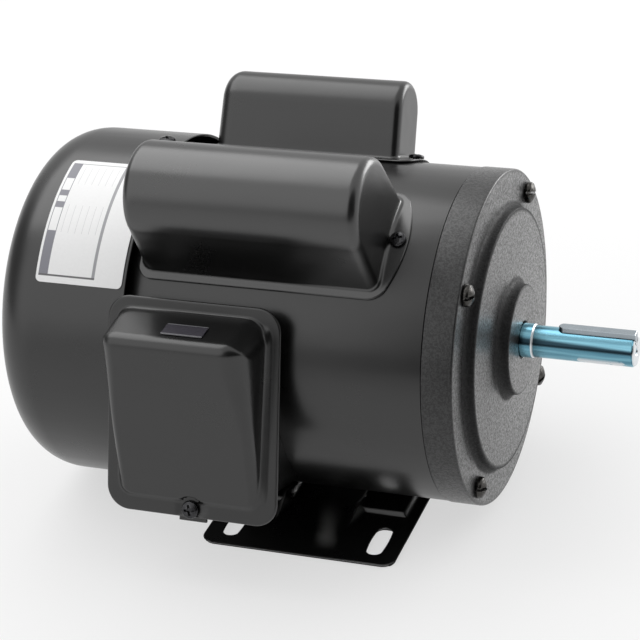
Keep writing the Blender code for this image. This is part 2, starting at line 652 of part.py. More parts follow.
def build_rotor():
    """Laminated rotor with a cast ring at each end."""
    bore = ROTOR_SEAT_R + GAP
    core = [(STACK_HALF, bore), (STACK_HALF, ROTOR_R), (-STACK_HALF, ROTOR_R), (-STACK_HALF, bore)]
    turned("rotor_core", core, LAMINATION, shaft_frame(), BIG_STEPS, ring=True)
    near = STACK_HALF + GAP
    far = near + END_RING_LEN
    out = ROTOR_R - 1 * MM
    ring = [(far, END_RING_IN_R), (far, out - 2 * MM), (far - 2 * MM, out), (near, out), (near, END_RING_IN_R)]
    turned("rotor_end_ring_front", ring, ALUMINIUM, shaft_frame(), MID_STEPS, ring=True)
    turned("rotor_end_ring_rear", [(-x, r) for x, r in reversed(ring)], ALUMINIUM, shaft_frame(), MID_STEPS, ring=True)


def build_shaft():
    """Stepped shaft with a keyseat, and its square key."""
    seat_front = FRONT_BEARING_X - BEARING_WIDTH / 2 - GAP
    seat_rear = REAR_BEARING_X + BEARING_WIDTH / 2 + GAP
    tail_step = REAR_BEARING_X - BEARING_WIDTH / 2 - 3 * MM
    profile = [(SHAFT_END - 3 * MM, 0), (SHAFT_END, 2.2 * MM), (SHAFT_END, SHAFT_R - END_CHAMFER),
               (SHAFT_END - END_CHAMFER, SHAFT_R), (SHAFT_SHOULDER + 0.6 * MM, SHAFT_R),
               (SHAFT_SHOULDER, JOURNAL_R), (seat_front, JOURNAL_R), (seat_front, ROTOR_SEAT_R),
               (seat_rear, ROTOR_SEAT_R), (seat_rear, JOURNAL_R), (tail_step, JOURNAL_R), (tail_step, FAN_SEAT_R),
               (SHAFT_TAIL + 1 * MM, FAN_SEAT_R), (SHAFT_TAIL, FAN_SEAT_R - 1 * MM), (SHAFT_TAIL, 0)]
    shaft = turned("shaft", profile, BLUED_STEEL, shaft_frame(), MID_STEPS)
    floor = AXIS_H + SHAFT_R - KEY_DEPTH
    seat = flat_piece("keyseat", [key_outline(KEY_SIZE / 2 + GAP, SHAFT_END + OVER)], floor - GAP,
                      AXIS_H + SHAFT_R * 2, None, Matrix())
    boolean(shaft, "DIFFERENCE", seat)
    flat_piece("shaft_key", [key_outline(KEY_SIZE / 2, SHAFT_END)], floor, floor + KEY_SIZE, STEEL, Matrix())


def key_outline(half, end):
    """A bar with one round end, along the shaft."""
    return arc(KEY_START + KEY_SIZE / 2, 0, half, 90, 270, 9) + [(end, -half), (end, half)]


def build_bearing(side, x):
    """Grooved outer and inner rings, and the balls in their cage."""
    low = x - BEARING_WIDTH / 2
    high = x + BEARING_WIDTH / 2
    groove = BALL_R + BALL_PLAY
    land_out = BALL_CIRCLE_R + BALL_R * 0.68
    land_in = BALL_CIRCLE_R - BALL_R * 0.68
    swing = math.degrees(math.acos((land_out - BALL_CIRCLE_R) / groove))
    bottom = [(x + dx, BALL_CIRCLE_R + dr) for dr, dx in arc(0, 0, groove, -swing, swing, 4)]
    outer = [(high, land_out), (high, BEARING_R), (low, BEARING_R), (low, land_out)] + bottom
    turned(side + "_bearing_outer_ring", outer, STEEL, shaft_frame(), RING_STEPS, ring=True)
    top = [(x - dx, BALL_CIRCLE_R - dr) for dr, dx in arc(0, 0, groove, -swing, swing, 4)]
    bore = JOURNAL_R + GAP
    inner = [(high, bore), (high, land_in)] + top + [(low, land_in), (low, bore)]
    turned(side + "_bearing_inner_ring", inner, STEEL, shaft_frame(), RING_STEPS, ring=True)
    cage = [(x + 1.4 * MM, BALL_CIRCLE_R - 0.9 * MM), (x + 1.4 * MM, BALL_CIRCLE_R + 0.9 * MM),
            (x - 1.4 * MM, BALL_CIRCLE_R + 0.9 * MM), (x - 1.4 * MM, BALL_CIRCLE_R - 0.9 * MM)]
    ring = turned(side + "_bearing_balls", cage, STEEL, shaft_frame(), RING_STEPS, ring=True)
    balls = bpy.data.meshes.new(side + "_ball_set")
    bm = bmesh.new()
    for i in range(BALL_COUNT):
        place = Matrix.Rotation(math.radians(360 / BALL_COUNT * (i + 0.5)), 4, "Z") @ Matrix.Translation(
            (BALL_CIRCLE_R, 0, 0))
        bmesh.ops.create_uvsphere(bm, u_segments=8, v_segments=4, radius=BALL_R, matrix=place)
    bm.to_mesh(balls)
    bm.free()
    boolean(ring, "UNION", add_object(side + "_ball_set", balls, None, shifted(shaft_frame(), 0, 0, x)))


def build_wave_washer():
    """Thin spring washer with three waves, behind the rear bearing."""
    centre = REAR_BEARING_X - BEARING_WIDTH / 2 - GAP - WASHER_WAVE - WASHER_THICK / 2
    half = WASHER_THICK / 2
    profile = [(half, 14.5 * MM), (half, BEARING_R - 0.4 * MM), (-half, BEARING_R - 0.4 * MM), (-half, 14.5 * MM)]
    obj = turned("wave_washer", profile, STEEL, shifted(shaft_frame(), 0, 0, centre), 36, ring=True)
    graph = bpy.context.evaluated_depsgraph_get()
    mesh = bpy.data.meshes.new_from_object(obj.evaluated_get(graph))
    obj.modifiers.clear()
    for vert in mesh.vertices:
        vert.co.z += WASHER_WAVE * math.cos(3 * math.atan2(vert.co.y, vert.co.x))
    obj.data = mesh


# ---------------------------------------------------------------- fan end

def build_fan():
    """Moulded radial fan: hub, back disc and straight blades, held by a clip."""
    bore = FAN_SEAT_R + GAP
    disc = FAN_FRONT - FAN_DISC
    profile = [(FAN_FRONT, bore), (FAN_FRONT, FAN_R), (disc, FAN_R), (disc, FAN_HUB_R + 1.5 * MM),
               (disc - 1.5 * MM, FAN_HUB_R), (FAN_HUB_REAR, FAN_HUB_R - 1 * MM), (FAN_HUB_REAR, bore)]
    fan = turned("cooling_fan", profile, FAN_PLASTIC, shaft_frame(), MID_STEPS, ring=True)
    blades = bpy.data.meshes.new("fan_blades")
    bm = bmesh.new()
    for i in range(FAN_BLADES):
        made = bmesh.ops.create_cube(bm, size=1.0)["verts"]
        size = (FAN_R - 1 * MM - FAN_HUB_R + 2 * MM, 2.0 * MM, FAN_FRONT - FAN_DISC / 2 - FAN_REAR)
        bmesh.ops.scale(bm, vec=size, verts=made)
        centre = ((FAN_R - 1 * MM + FAN_HUB_R - 2 * MM) / 2, 0, (FAN_FRONT - FAN_DISC / 2 + FAN_REAR) / 2)
        bmesh.ops.translate(bm, vec=centre, verts=made)
        spin = Matrix.Rotation(math.radians(360 / FAN_BLADES * i), 4, "Z")
        bmesh.ops.transform(bm, matrix=spin, verts=made)
    bm.to_mesh(blades)
    bm.free()
    boolean(fan, "UNION", add_object("fan_blades", blades, None, shaft_frame()))
    clip_front = FAN_HUB_REAR - GAP
    clip = turned("fan_clip", [(clip_front, bore), (clip_front, CLIP_R), (clip_front - CLIP_THICK, CLIP_R),
                               (clip_front - CLIP_THICK, bore)], STEEL, shaft_frame(), SMALL_STEPS, ring=True)
    mouth = block("clip_mouth", (clip_front - CLIP_THICK * 2, -2 * MM, 0), (clip_front + CLIP_THICK, 2 * MM, CLIP_R * 2))
    boolean(clip, "DIFFERENCE", mouth)


def cover_corner(inset):
    """The cover's rounded rear corner, a quarter of an ellipse, from its side to its back."""
    return [(COVER_REAR + COVER_ROUND_X + x * (COVER_ROUND_X - inset), COVER_R - COVER_ROUND_R
             + r * (COVER_ROUND_R - inset)) for x, r in arc(0, 0, 1, 90, 180, 6)]


def build_fan_cover():
    """Pressed steel cap over the fan, open in front, with inlet slots in its back."""
    inner_r = COVER_R - COVER_SHEET
    profile = [(COVER_REAR + COVER_SHEET, 0)] + cover_corner(COVER_SHEET)[::-1]
    profile += [(COVER_FRONT, inner_r), (COVER_FRONT, COVER_R)] + cover_corner(0) + [(COVER_REAR, 0)]
    cover = turned("fan_cover", profile, BLACK_PAINT, shaft_frame(), BIG_STEPS)
    grille = bpy.data.meshes.new("grille_slots")
    bm = bmesh.new()
    for count, r0, r1 in ((8, 17 * MM, 36 * MM), (16, 43 * MM, 66 * MM)):
        for i in range(count):
            made = bmesh.ops.create_cube(bm, size=1.0)["verts"]
            bmesh.ops.scale(bm, vec=(r1 - r0, 5.0 * MM, COVER_SHEET * 4), verts=made)
            bmesh.ops.translate(bm, vec=((r0 + r1) / 2, 0, COVER_REAR + COVER_SHEET / 2), verts=made)
            spin = Matrix.Rotation(math.radians(360 / count * (i + 0.5)), 4, "Z")
            bmesh.ops.transform(bm, matrix=spin, verts=made)
    bm.to_mesh(grille)
    bm.free()
    cuts = [add_object("grille_slots", grille, None, shaft_frame())]
    for i, angle in enumerate(COVER_SCREW_ANGLES, 1):
        frame = shifted(radial_frame(angle), COVER_SCREW_X, 0, 0)
        cuts.append(rod(f"cover_hole_{i}", COVER_SCREW_R + GAP, inner_r - OVER, COVER_R + OVER, frame, 12))
        screw_piece(f"fan_cover_screw_{i}", frame, 4.2 * MM, 2.2 * MM, COVER_SCREW_R,
                    COVER_R + GAP - COVER_SCREW_FLOOR, BLACK_ZINC, COVER_R + GAP)
    boolean(cover, "DIFFERENCE", *cuts)


def build_nameplate():
    """Curved label on the fan cover: a thin ring kept only where a block crosses it."""
    low = COVER_R + GAP
    high = low + LABEL_THICK
    profile = [(LABEL_X1, low), (LABEL_X1, high), (LABEL_X0, high), (LABEL_X0, low)]
    label = turned("nameplate", profile, WHITE_LABEL, shaft_frame(), BIG_STEPS, ring=True)
    keep = block("nameplate_span", (LABEL_X0 - OVER, -LABEL_HALF, FRAME_R / 2), (LABEL_X1 + OVER, LABEL_HALF, high * 1.2),
                 frame=radial_frame(LABEL_ANGLE))
    boolean(label, "INTERSECT", keep)


# ---------------------------------------------------------------- capacitors

CAP_SCREW_R = 1.7 * MM
COVER_SCREW_R = 1.5 * MM
COVER_SCREW_FLOOR = FRAME_R - 2.4 * MM


def tongue_span(spec):
    """X span of the tongue that hooks a capacitor cover into the frame."""
    return spec["x0"] - CAP_FLANGE_BACK + 0.6 * MM, spec["x0"] - CAP_FLANGE_BACK + 0.6 * MM + CAP_SHEET


def build_capacitor(key, spec):
    """A can lying on the frame and the pressed cover over it, hooked at the rear and screwed in front."""
    frame = radial_frame(spec["angle"])
    section = section_frame(spec["angle"])
    seat = FRAME_R + GAP
    floor_r = FRAME_R / 2
    half = spec["foot"] + CAP_FLANGE
    far = spec["x1"] + CAP_FLANGE_OUT
    back = spec["x0"] - CAP_FLANGE_BACK
    swing = math.degrees(math.asin((half - 2 * MM) / CAP_END_ARC_R))
    outline = arc(back + 5 * MM, half - 5 * MM, 5 * MM, 90, 180, 5)
    outline += arc(back + 5 * MM, -half + 5 * MM, 5 * MM, 180, 270, 5)
    outline += [(far - CAP_END_ARC_R * (1 - math.cos(math.radians(swing))) - 5 * MM, -half)]
    outline += arc(far - CAP_END_ARC_R, 0, CAP_END_ARC_R, -swing, swing, 15)
    outline += [(far - CAP_END_ARC_R * (1 - math.cos(math.radians(swing))) - 5 * MM, half)]
    cover = flat_piece(key + "_cover", [outline], floor_r, FRAME_R * 1.3, BLACK_PAINT, frame)
    skin = rod(key + "_flange_skin", seat + CAP_SHEET, COVER_REAR, FRAME_FRONT + 20 * MM, shaft_frame(), BIG_STEPS)
    boolean(cover, "INTERSECT", skin)
    boolean(cover, "UNION", add_object(key + "_dome", dome_mesh(key + "_dome", spec, 0, floor_r), None, section))
    boolean(cover, "DIFFERENCE", bpy.data.objects["frame_clearance"])
    hollow = dome_mesh(key + "_hollow", spec, CAP_SHEET, floor_r - OVER)
    boolean(cover, "DIFFERENCE", add_object(key + "_hollow", hollow, None, section))
    x0, x1 = tongue_span(spec)
    tongue = block(key + "_tongue", (x0, -CAP_TONGUE, FRAME_R - FRAME_WALL - 2 * MM),
                   (x1, CAP_TONGUE, seat + CAP_SHEET / 2), frame=frame)
    boolean(cover, "UNION", tongue)
    place = shifted(frame, spec["x1"] + CAP_SCREW_OUT, 0, 0)
    hole = rod(key + "_cover_hole", CAP_SCREW_R + GAP, FRAME_R, seat + CAP_SHEET + OVER, place, 12)
    boolean(cover, "DIFFERENCE", hole)
    head = seat + CAP_SHEET + GAP
    screw_piece(key + "_cover_screw", place, 3.9 * MM, 2.3 * MM, CAP_SCREW_R,
                head - (FRAME_R - FRAME_WALL), BLACK_ZINC, head)

    lie = shifted(section, 0, seat + spec["can_r"], 0)
    r = spec["can_r"]
    x0, x1 = spec["can_x0"], spec["can_x1"]
    can = [(x1, 0), (x1, r - 2 * MM), (x1 - 1 * MM, r), (x0 + 3 * MM, r), (x0, r - 2 * MM), (x0, r - 4 * MM),
           (x0 + 1 * MM, r - 4 * MM), (x0 + 1 * MM, 0)]
    turned(key, can, CAN_PLASTIC, lie, MID_STEPS)


# ---------------------------------------------------------------- terminal box

def build_terminal_box():
    """Box welded to the frame, its gasket, its wedge cover, and what the box holds."""
    frame = radial_frame(BOX_TILT)
    outer = rounded_rect(BOX_X0, BOX_X1, BOX_V0, BOX_V1, BOX_CORNER)
    inner = rounded_rect(BOX_X0 + BOX_WALL, BOX_X1 - BOX_WALL, BOX_V0 + BOX_WALL, BOX_V1 - BOX_WALL,
                         BOX_CORNER - BOX_WALL)
    lip = rounded_rect(BOX_X0 + GASKET_WIDTH, BOX_X1 - GASKET_WIDTH, BOX_V0 + GASKET_WIDTH, BOX_V1 - GASKET_WIDTH,
                       BOX_CORNER - GASKET_WIDTH)
    middle = (BOX_X0 + BOX_X1) / 2
    box = flat_piece("terminal_box", [outer], FRAME_R / 4, BOX_MOUTH, BLACK_PAINT, frame)
    tab = block("box_screw_tab", (middle - TAB_WIDTH / 2, BOX_V0 - TAB_REACH, BOX_MOUTH - BOX_WALL),
                (middle + TAB_WIDTH / 2, BOX_V0 + BOX_WALL / 2, BOX_MOUTH - MERGE * 3), frame=frame)
    boolean(box, "UNION", tab)
    room = flat_piece("box_room", [inner], 0, BOX_MOUTH - BOX_WALL, None, frame)
    mouth = flat_piece("box_mouth", [lip], FRAME_R, BOX_MOUTH + OVER, None, frame)
    boolean(box, "DIFFERENCE", room, mouth)
    screw_place = shifted(frame, middle, LID_SCREW_V, 0)
    screw_hole = rod("box_tab_hole", CAP_SCREW_R + GAP, BOX_MOUTH - BOX_WALL - OVER, BOX_MOUTH + OVER, screw_place, 12)
    entry_frame = shifted(frame, middle, 0, BOX_MOUTH - KNOCKOUT_DEPTH) @ Matrix.Rotation(math.radians(90), 4, "X")
    entry = rod("conduit_hole", KNOCKOUT_R + GAP, -BOX_V0 - BOX_WALL - OVER, -BOX_V0 + OVER, entry_frame, 32)
    boolean(box, "DIFFERENCE", bpy.data.objects["frame_clearance"], screw_hole, entry)
    rod("knockout_plug", KNOCKOUT_R, -BOX_V0 - BOX_WALL, -BOX_V0, entry_frame, 32, BLACK_PAINT)

    gasket_low = BOX_MOUTH + GAP
    flat_piece("box_gasket", [outer, lip], gasket_low, gasket_low + GASKET_THICK, RUBBER, frame)
    build_box_cover(frame, gasket_low + GASKET_THICK + GAP, screw_place)
    build_box_contents(frame)


def wedge(name, inset, cut_at, keep_below):
    """Upright wedge of the cover, shrunk by inset, cut flat by the mouth plane at cut_at."""
    x0 = BOX_X0 - LID_MARGIN + LID_LEDGE_REAR + inset
    x1 = BOX_X1 + LID_MARGIN - LID_LEDGE_FRONT - inset
    y0 = LID_FRONT_Y + inset
    top = LID_TOP_Z - inset
    obj = block(name, (x0, y0, -LID_TOP_Z * 1.4), (x1, LID_FRONT_Y * 0.5, top))
    bm = bmesh.new()
    bm.from_mesh(obj.data)
    for vert in bm.verts:
        if abs(vert.co.y - y0) < MERGE:
            vert.co.x -= math.copysign(LID_DRAFT, vert.co.x - (x0 + x1) / 2)
    edges = [e for e in bm.edges if any(abs(v.co.y - y0) < MERGE or abs(v.co.z - top) < MERGE for v in e.verts)]
    bmesh.ops.bevel(bm, geom=edges, offset=LID_EDGE - inset, segments=3, affect="EDGES", profile=0.5)
    if not keep_below:
        a = math.radians(BOX_TILT)
        normal = Vector((0, -math.cos(a), math.sin(a)))
        cut = bmesh.ops.bisect_plane(bm, geom=bm.verts[:] + bm.edges[:] + bm.faces[:], plane_co=normal * cut_at,
                                     plane_no=normal, clear_inner=True)
        rim = [item for item in cut["geom_cut"] if isinstance(item, bmesh.types.BMEdge)]
        bmesh.ops.holes_fill(bm, edges=rim)
    bmesh.ops.recalc_face_normals(bm, faces=bm.faces)
    bm.to_mesh(obj.data)
    bm.free()
    return obj


def build_box_cover(frame, low, screw_place):
    """Sheet cover: a flat flange with a hollow wedge pressed out of it."""
    high = low + LID_SHEET
    outline = rounded_rect(BOX_X0 - LID_MARGIN, BOX_X1 + LID_MARGIN, BOX_V0 - LID_MARGIN, BOX_V1 + LID_MARGIN,
                           LID_CORNER, 7)
    cover = flat_piece("terminal_box_cover", [outline], low, high, BLACK_PAINT, frame)
    boolean(cover, "UNION", wedge("lid_wedge", 0, low + LID_SHEET / 2, False))
    boolean(cover, "DIFFERENCE", wedge("lid_hollow", LID_SHEET, 0, True))
    hole = rod("lid_screw_hole", CAP_SCREW_R + GAP, low - OVER, high + OVER, screw_place, 12)
    boolean(cover, "DIFFERENCE", hole)
    shank = high + GAP - BOX_MOUTH + LID_SCREW_REACH
    screw_piece("box_cover_screw", screw_place, LID_SCREW_HEAD_R, LID_SCREW_HEAD_H, CAP_SCREW_R, shank, BLACK_ZINC,
                high + GAP)
    block("cover_tag", (TAG_X0, TAG_Y0, LID_TOP_Z + GAP), (TAG_X1, TAG_Y1, LID_TOP_Z + GAP + TAG_THICK), GREY_TAG)


def build_box_contents(frame):
    """Terminal board with studs on the box's side wall, earth screw and lead grommet."""
    wall = BOX_X1 - BOX_WALL - GAP
    low = BOX_V0 + BOARD_LIFT
    outer = BOX_MOUTH - BOARD_COVER_GAP
    board = block("terminal_board", (wall - BOARD_THICK, low, outer - BOARD_WIDTH),
                  (wall, low + BOARD_LENGTH, outer), BOARD_TAN, frame)
    face = wall - BOARD_THICK
    middle = low + BOARD_LENGTH / 2
    for i in range(3):
        place = shifted(frame, 0, middle + (i - 1) * STUD_PITCH, outer - BOARD_WIDTH / 2) @ Matrix.Rotation(
            math.radians(-90), 4, "Y")
        boolean(board, "DIFFERENCE", rod(f"stud_hole_{i}", STUD_R + GAP, -wall + 0.8 * MM, -face + OVER, place, 12))
        screw_piece(f"terminal_stud_{i + 1}", place, 3.4 * MM, 3.0 * MM, STUD_R, BOARD_THICK - 1.4 * MM, BRASS,
                    -face + GAP)
    ground = shifted(radial_frame(GROUND_ANGLE), GROUND_X, 0, 0)
    screw_piece("ground_screw", ground, 3.6 * MM, 2.4 * MM, GROUND_SCREW_R, FRAME_WALL, GREEN_SCREW, FRAME_R + GAP)
    sleeve = [(FRAME_R + 2.5 * MM, GROMMET_R - GROMMET_WALL), (FRAME_R + 2.5 * MM, GROMMET_R - GAP),
              (FRAME_R - FRAME_WALL - 1 * MM, GROMMET_R - GAP),
              (FRAME_R - FRAME_WALL - 1 * MM, GROMMET_R - GROMMET_WALL)]
    turned("lead_grommet", sleeve, RUBBER, shifted(radial_frame(0), LEAD_X, 0, 0), 24, ring=True)


# ---------------------------------------------------------------- centrifugal switch

def build_governor():
    """Disc with ears on the shaft, two bell-crank weights and the grooved spool they push."""
    bore = ROTOR_SEAT_R + GAP
    disc_front = GOVERNOR_DISC_X + 2 * MM
    profile = [(disc_front, bore), (disc_front, GOVERNOR_DISC_R), (GOVERNOR_DISC_X, GOVERNOR_DISC_R),
               (GOVERNOR_DISC_X, bore + 3.5 * MM), (GOVERNOR_DISC_X - 1.6 * MM, bore + 3.5 * MM),
               (GOVERNOR_DISC_X - 1.6 * MM, bore)]
    disc = turned("governor_disc", profile, STEEL, shaft_frame(), RING_STEPS, ring=True)
    near = WEIGHT_HALF + GAP
    for name, angle in (("top", 90), ("bottom", 270)):
        frame = radial_frame(angle)
        for side in (-1, 1):
            y0, y1 = sorted((side * near, side * (near + EAR_THICK)))
            ear = block(f"{name}_ear_{side}", (PIVOT_X - 2.5 * MM, y0, PIVOT_R - 2.5 * MM),
                        (GOVERNOR_DISC_X + 1 * MM, y1, PIVOT_R + 2.5 * MM), frame=frame)
            boolean(disc, "UNION", ear)
        pin_at = shifted(frame, PIVOT_X, 0, PIVOT_R) @ Matrix.Rotation(math.radians(90), 4, "X")
        boolean(disc, "UNION", rod(name + "_pin", PIN_R, -near - EAR_THICK / 2, near + EAR_THICK / 2, pin_at, 12))
        weight = block(f"governor_weight_{name}", (PIVOT_X + 0.8 * MM, -WEIGHT_HALF, PIVOT_R - 1 * MM),
                       (GOVERNOR_DISC_X - 1 * MM, WEIGHT_HALF, PIVOT_R + 6 * MM), STEEL, frame)
        barrel = rod(name + "_barrel", PIN_R + 1.6 * MM, -WEIGHT_HALF, WEIGHT_HALF, pin_at, 16)
        finger = block(name + "_finger", (PIVOT_X - FINGER_HALF, -WEIGHT_HALF + 1 * MM, SPOOL_GROOVE_R + 1.1 * MM),
                       (PIVOT_X + FINGER_HALF, WEIGHT_HALF - 1 * MM, PIVOT_R), frame=frame)
        boolean(weight, "UNION", barrel, finger)
        boolean(weight, "DIFFERENCE", rod(name + "_weight_bore", PIN_R + PIN_PLAY, -WEIGHT_HALF * 2, WEIGHT_HALF * 2,
                                          pin_at, 16))
    slide = ROTOR_SEAT_R + PIN_PLAY
    spool = [(SPOOL_FRONT, slide), (SPOOL_FRONT, SPOOL_WALL_R), (PIVOT_X + GROOVE_HALF, SPOOL_WALL_R),
             (PIVOT_X + GROOVE_HALF, SPOOL_GROOVE_R), (PIVOT_X - GROOVE_HALF, SPOOL_GROOVE_R),
             (PIVOT_X - GROOVE_HALF, SPOOL_WALL_R), (PIVOT_X - GROOVE_HALF - 1.5 * MM, SPOOL_WALL_R),
             (SPOOL_REAR + 1.5 * MM, SPOOL_GROOVE_R + 1.5 * MM), (SPOOL_REAR + 1.5 * MM, SPOOL_R),
             (SPOOL_REAR, SPOOL_R), (SPOOL_REAR, slide)]
    turned("governor_spool", spool, SPOOL_PLASTIC, shaft_frame(), RING_STEPS, ring=True)


def build_switch():
    """Fixed board on the rear bell, its contact, and the sprung arm that the spool releases."""
    low = rear_wall_x() + GAP
    high = low + SWITCH_BOARD_THICK
    board = block("switch_board", (low, -SWITCH_BOARD_HALF, SWITCH_BOARD_LOW), (high, SWITCH_BOARD_HALF, SWITCH_BOARD_TOP),
                  BOARD_TAN)
    arm_front = SPOOL_REAR - GAP
    arm_rear = arm_front - ARM_THICK
    pivot_x = (arm_front + arm_rear) / 2
    near = WEIGHT_HALF + GAP
    pivot_at = Matrix.Translation((pivot_x, 0, AXIS_H + ARM_PIVOT_Z)) @ Matrix.Rotation(math.radians(90), 4, "X")
    for side in (-1, 1):
        y0, y1 = sorted((side * near, side * (near + EAR_THICK)))
        ear = block(f"arm_ear_{side}", (high - 1 * MM, y0, ARM_PIVOT_Z - 3 * MM),
                    (pivot_x + 2.2 * MM, y1, ARM_PIVOT_Z + 3 * MM))
        boolean(board, "UNION", ear)
    boolean(board, "UNION", rod("arm_pin", PIN_R, -near - EAR_THICK / 2, near + EAR_THICK / 2, pivot_at, 12))
    for i, y in enumerate(board_pin_places(), 1):
        boolean(board, "DIFFERENCE", rod(f"board_hole_{i}", BOARD_PIN_R + GAP, low - OVER, high + OVER, pin_frame(y), 12))
    contact_at = Matrix.Translation((0, 0, AXIS_H + CONTACT_Z)) @ Matrix.Rotation(math.radians(90), 4, "Y")
    rod("fixed_contact", CONTACT_R, high + GAP, arm_rear - GAP, contact_at, 16, BRASS)
    arm = block("contact_arm", (arm_rear, -WEIGHT_HALF, ARM_PIVOT_Z), (arm_front, WEIGHT_HALF, ARM_TIP_Z), BRASS)
    boolean(arm, "UNION", rod("arm_barrel", PIN_R + 1.4 * MM, -WEIGHT_HALF, WEIGHT_HALF, pivot_at, 16))
    boolean(arm, "DIFFERENCE", rod("arm_bore", PIN_R + PIN_PLAY, -WEIGHT_HALF * 2, WEIGHT_HALF * 2, pivot_at, 16))


# ---------------------------------------------------------------- assembly

clear_scene()
PARTS = new_collection("electric_motor")
CUTTERS = new_collection("cutters")

BLACK_PAINT = make_material("black_paint", (0.028, 0.028, 0.03), 0.36, 0.0)
CAST_BLACK = make_material("cast_black", (0.035, 0.035, 0.037), 0.55, 0.0)
ZINC = make_material("dark_zinc", (0.16, 0.16, 0.16), 0.35, 1.0)
BLACK_ZINC = make_material("black_zinc", (0.08, 0.08, 0.085), 0.35, 1.0)
LAMINATION = make_material("lamination", (0.30, 0.30, 0.31), 0.45, 1.0)
COPPER = make_material("copper", (0.72, 0.33, 0.16), 0.35, 1.0)
ALUMINIUM = make_material("aluminium", (0.75, 0.76, 0.77), 0.40, 1.0)
BLUED_STEEL = make_material("blued_steel", (0.30, 0.55, 0.62), 0.25, 1.0)
STEEL = make_material("steel", (0.62, 0.62, 0.62), 0.28, 1.0)
FAN_PLASTIC = make_material("fan_plastic", (0.03, 0.03, 0.03), 0.50, 0.0)
CAN_PLASTIC = make_material("capacitor_can", (0.02, 0.02, 0.02), 0.45, 0.0)
WHITE_LABEL = make_material("white_label", (0.90, 0.90, 0.90), 0.45, 0.0)
GREY_TAG = make_material("grey_tag", (0.10, 0.10, 0.11), 0.40, 0.0)
RUBBER = make_material("rubber", (0.02, 0.02, 0.02), 0.80, 0.0)
BOARD_TAN = make_material("board_tan", (0.42, 0.26, 0.12), 0.55, 0.0)
BRASS = make_material("brass", (0.80, 0.62, 0.28), 0.30, 1.0)
GREEN_SCREW = make_material("green_screw", (0.05, 0.35, 0.12), 0.40, 0.6)
SPOOL_PLASTIC = make_material("spool_plastic", (0.75, 0.70, 0.58), 0.50, 0.0)

shell_clearance()
build_frame_shell()
build_base_plate()
build_front_bell()
build_rear_bell()
for bolt_number, bolt_angle in enumerate(BOLT_ANGLES, 1):
    build_through_bolt(bolt_number, bolt_angle)
build_stator()
build_rotor()
build_shaft()
build_bearing("front", FRONT_BEARING_X)
build_bearing("rear", REAR_BEARING_X)
build_wave_washer()
build_fan()
build_fan_cover()
build_nameplate()
for cover_key, cover_spec in COVERS.items():
    build_capacitor(cover_key, cover_spec)
build_terminal_box()
build_governor()
build_switch()
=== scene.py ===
"""Foot-mounted, fan-cooled motor: pressed covers, cast bells and a blued shaft, in satin black."""
import json
from math import asin, cos, hypot, pi, radians, sin, sqrt

import bmesh
import bpy
import numpy as np
from mathutils import Matrix, Vector

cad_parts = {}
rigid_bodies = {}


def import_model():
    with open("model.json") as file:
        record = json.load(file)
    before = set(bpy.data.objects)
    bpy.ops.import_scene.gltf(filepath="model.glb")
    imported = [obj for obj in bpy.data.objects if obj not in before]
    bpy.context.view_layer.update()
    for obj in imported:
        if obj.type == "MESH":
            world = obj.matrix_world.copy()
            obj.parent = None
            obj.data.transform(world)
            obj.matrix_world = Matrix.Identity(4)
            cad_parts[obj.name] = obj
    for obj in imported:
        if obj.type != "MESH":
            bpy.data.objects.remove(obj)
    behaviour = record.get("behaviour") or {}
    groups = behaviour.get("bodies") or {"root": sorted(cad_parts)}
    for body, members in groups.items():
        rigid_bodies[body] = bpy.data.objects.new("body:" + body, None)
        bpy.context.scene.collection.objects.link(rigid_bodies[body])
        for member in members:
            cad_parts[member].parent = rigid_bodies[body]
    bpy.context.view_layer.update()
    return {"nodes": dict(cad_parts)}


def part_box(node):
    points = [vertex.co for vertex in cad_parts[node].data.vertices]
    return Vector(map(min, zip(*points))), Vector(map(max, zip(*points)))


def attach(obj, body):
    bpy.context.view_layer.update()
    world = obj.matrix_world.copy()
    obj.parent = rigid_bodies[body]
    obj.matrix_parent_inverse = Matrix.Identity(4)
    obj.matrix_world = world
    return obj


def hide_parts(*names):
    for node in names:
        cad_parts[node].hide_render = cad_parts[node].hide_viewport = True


for leftover in list(bpy.data.objects):
    bpy.data.objects.remove(leftover)
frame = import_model()


def low(node):
    """Lowest corner of a node's box."""
    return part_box(node)[0]


def high(node):
    """Highest corner of a node's box."""
    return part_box(node)[1]


def corners_of(node):
    """Lowest and highest corner of a node's box."""
    return low(node), high(node)


def reach_of(node):
    """Where a node starts and ends along the shaft."""
    return low(node).x, high(node).x


def middle_x(node):
    """Middle of a node along the shaft."""
    return (low(node).x + high(node).x) / 2


def radius_of(node):
    """Radius of a round node about the shaft's axis."""
    return (high(node).z - AXIS) / FLAT


MM = 0.001
GAP = 0.3 * MM              # clearance between pieces that lie on each other
SHEET = 1.2 * MM            # pressed covers
FRAME_WALL = 3.0 * MM       # rolled tube
FLAT = cos(pi / 40)         # the solids' round pieces have 40 flats, and a flat faces each main direction
AXIS = (low("shaft").z + high("shaft").z) / 2
FRAME_R = radius_of("frame_shell")
BELL_R = high("front_end_bell").z - AXIS
HUB_R = 27.1 * MM
COVER_SKIN = FRAME_R + GAP + SHEET
BOX_TILT = 18.9             # degrees that the terminal box leans back
GASKET = 1.0 * MM
LID_SKIN = FRAME_R + 7.0 * MM + GAP + GASKET + GAP + SHEET
LID_SCREW_V = -78.6 * MM
START_ANGLE, RUN_ANGLE, LABEL_ANGLE = 60.0, 120.0, 57.0
LABEL_SHEET = 0.25 * MM
ROUND_STEPS, SCREW_STEPS = 256, 128
EDGE_ANGLE = 40.0           # degrees between two faces from which their edge stays sharp


def mm(*sizes):
    """Sizes written in millimetres, in metres."""
    return [size * MM for size in sizes]


# ---------------- surfaces

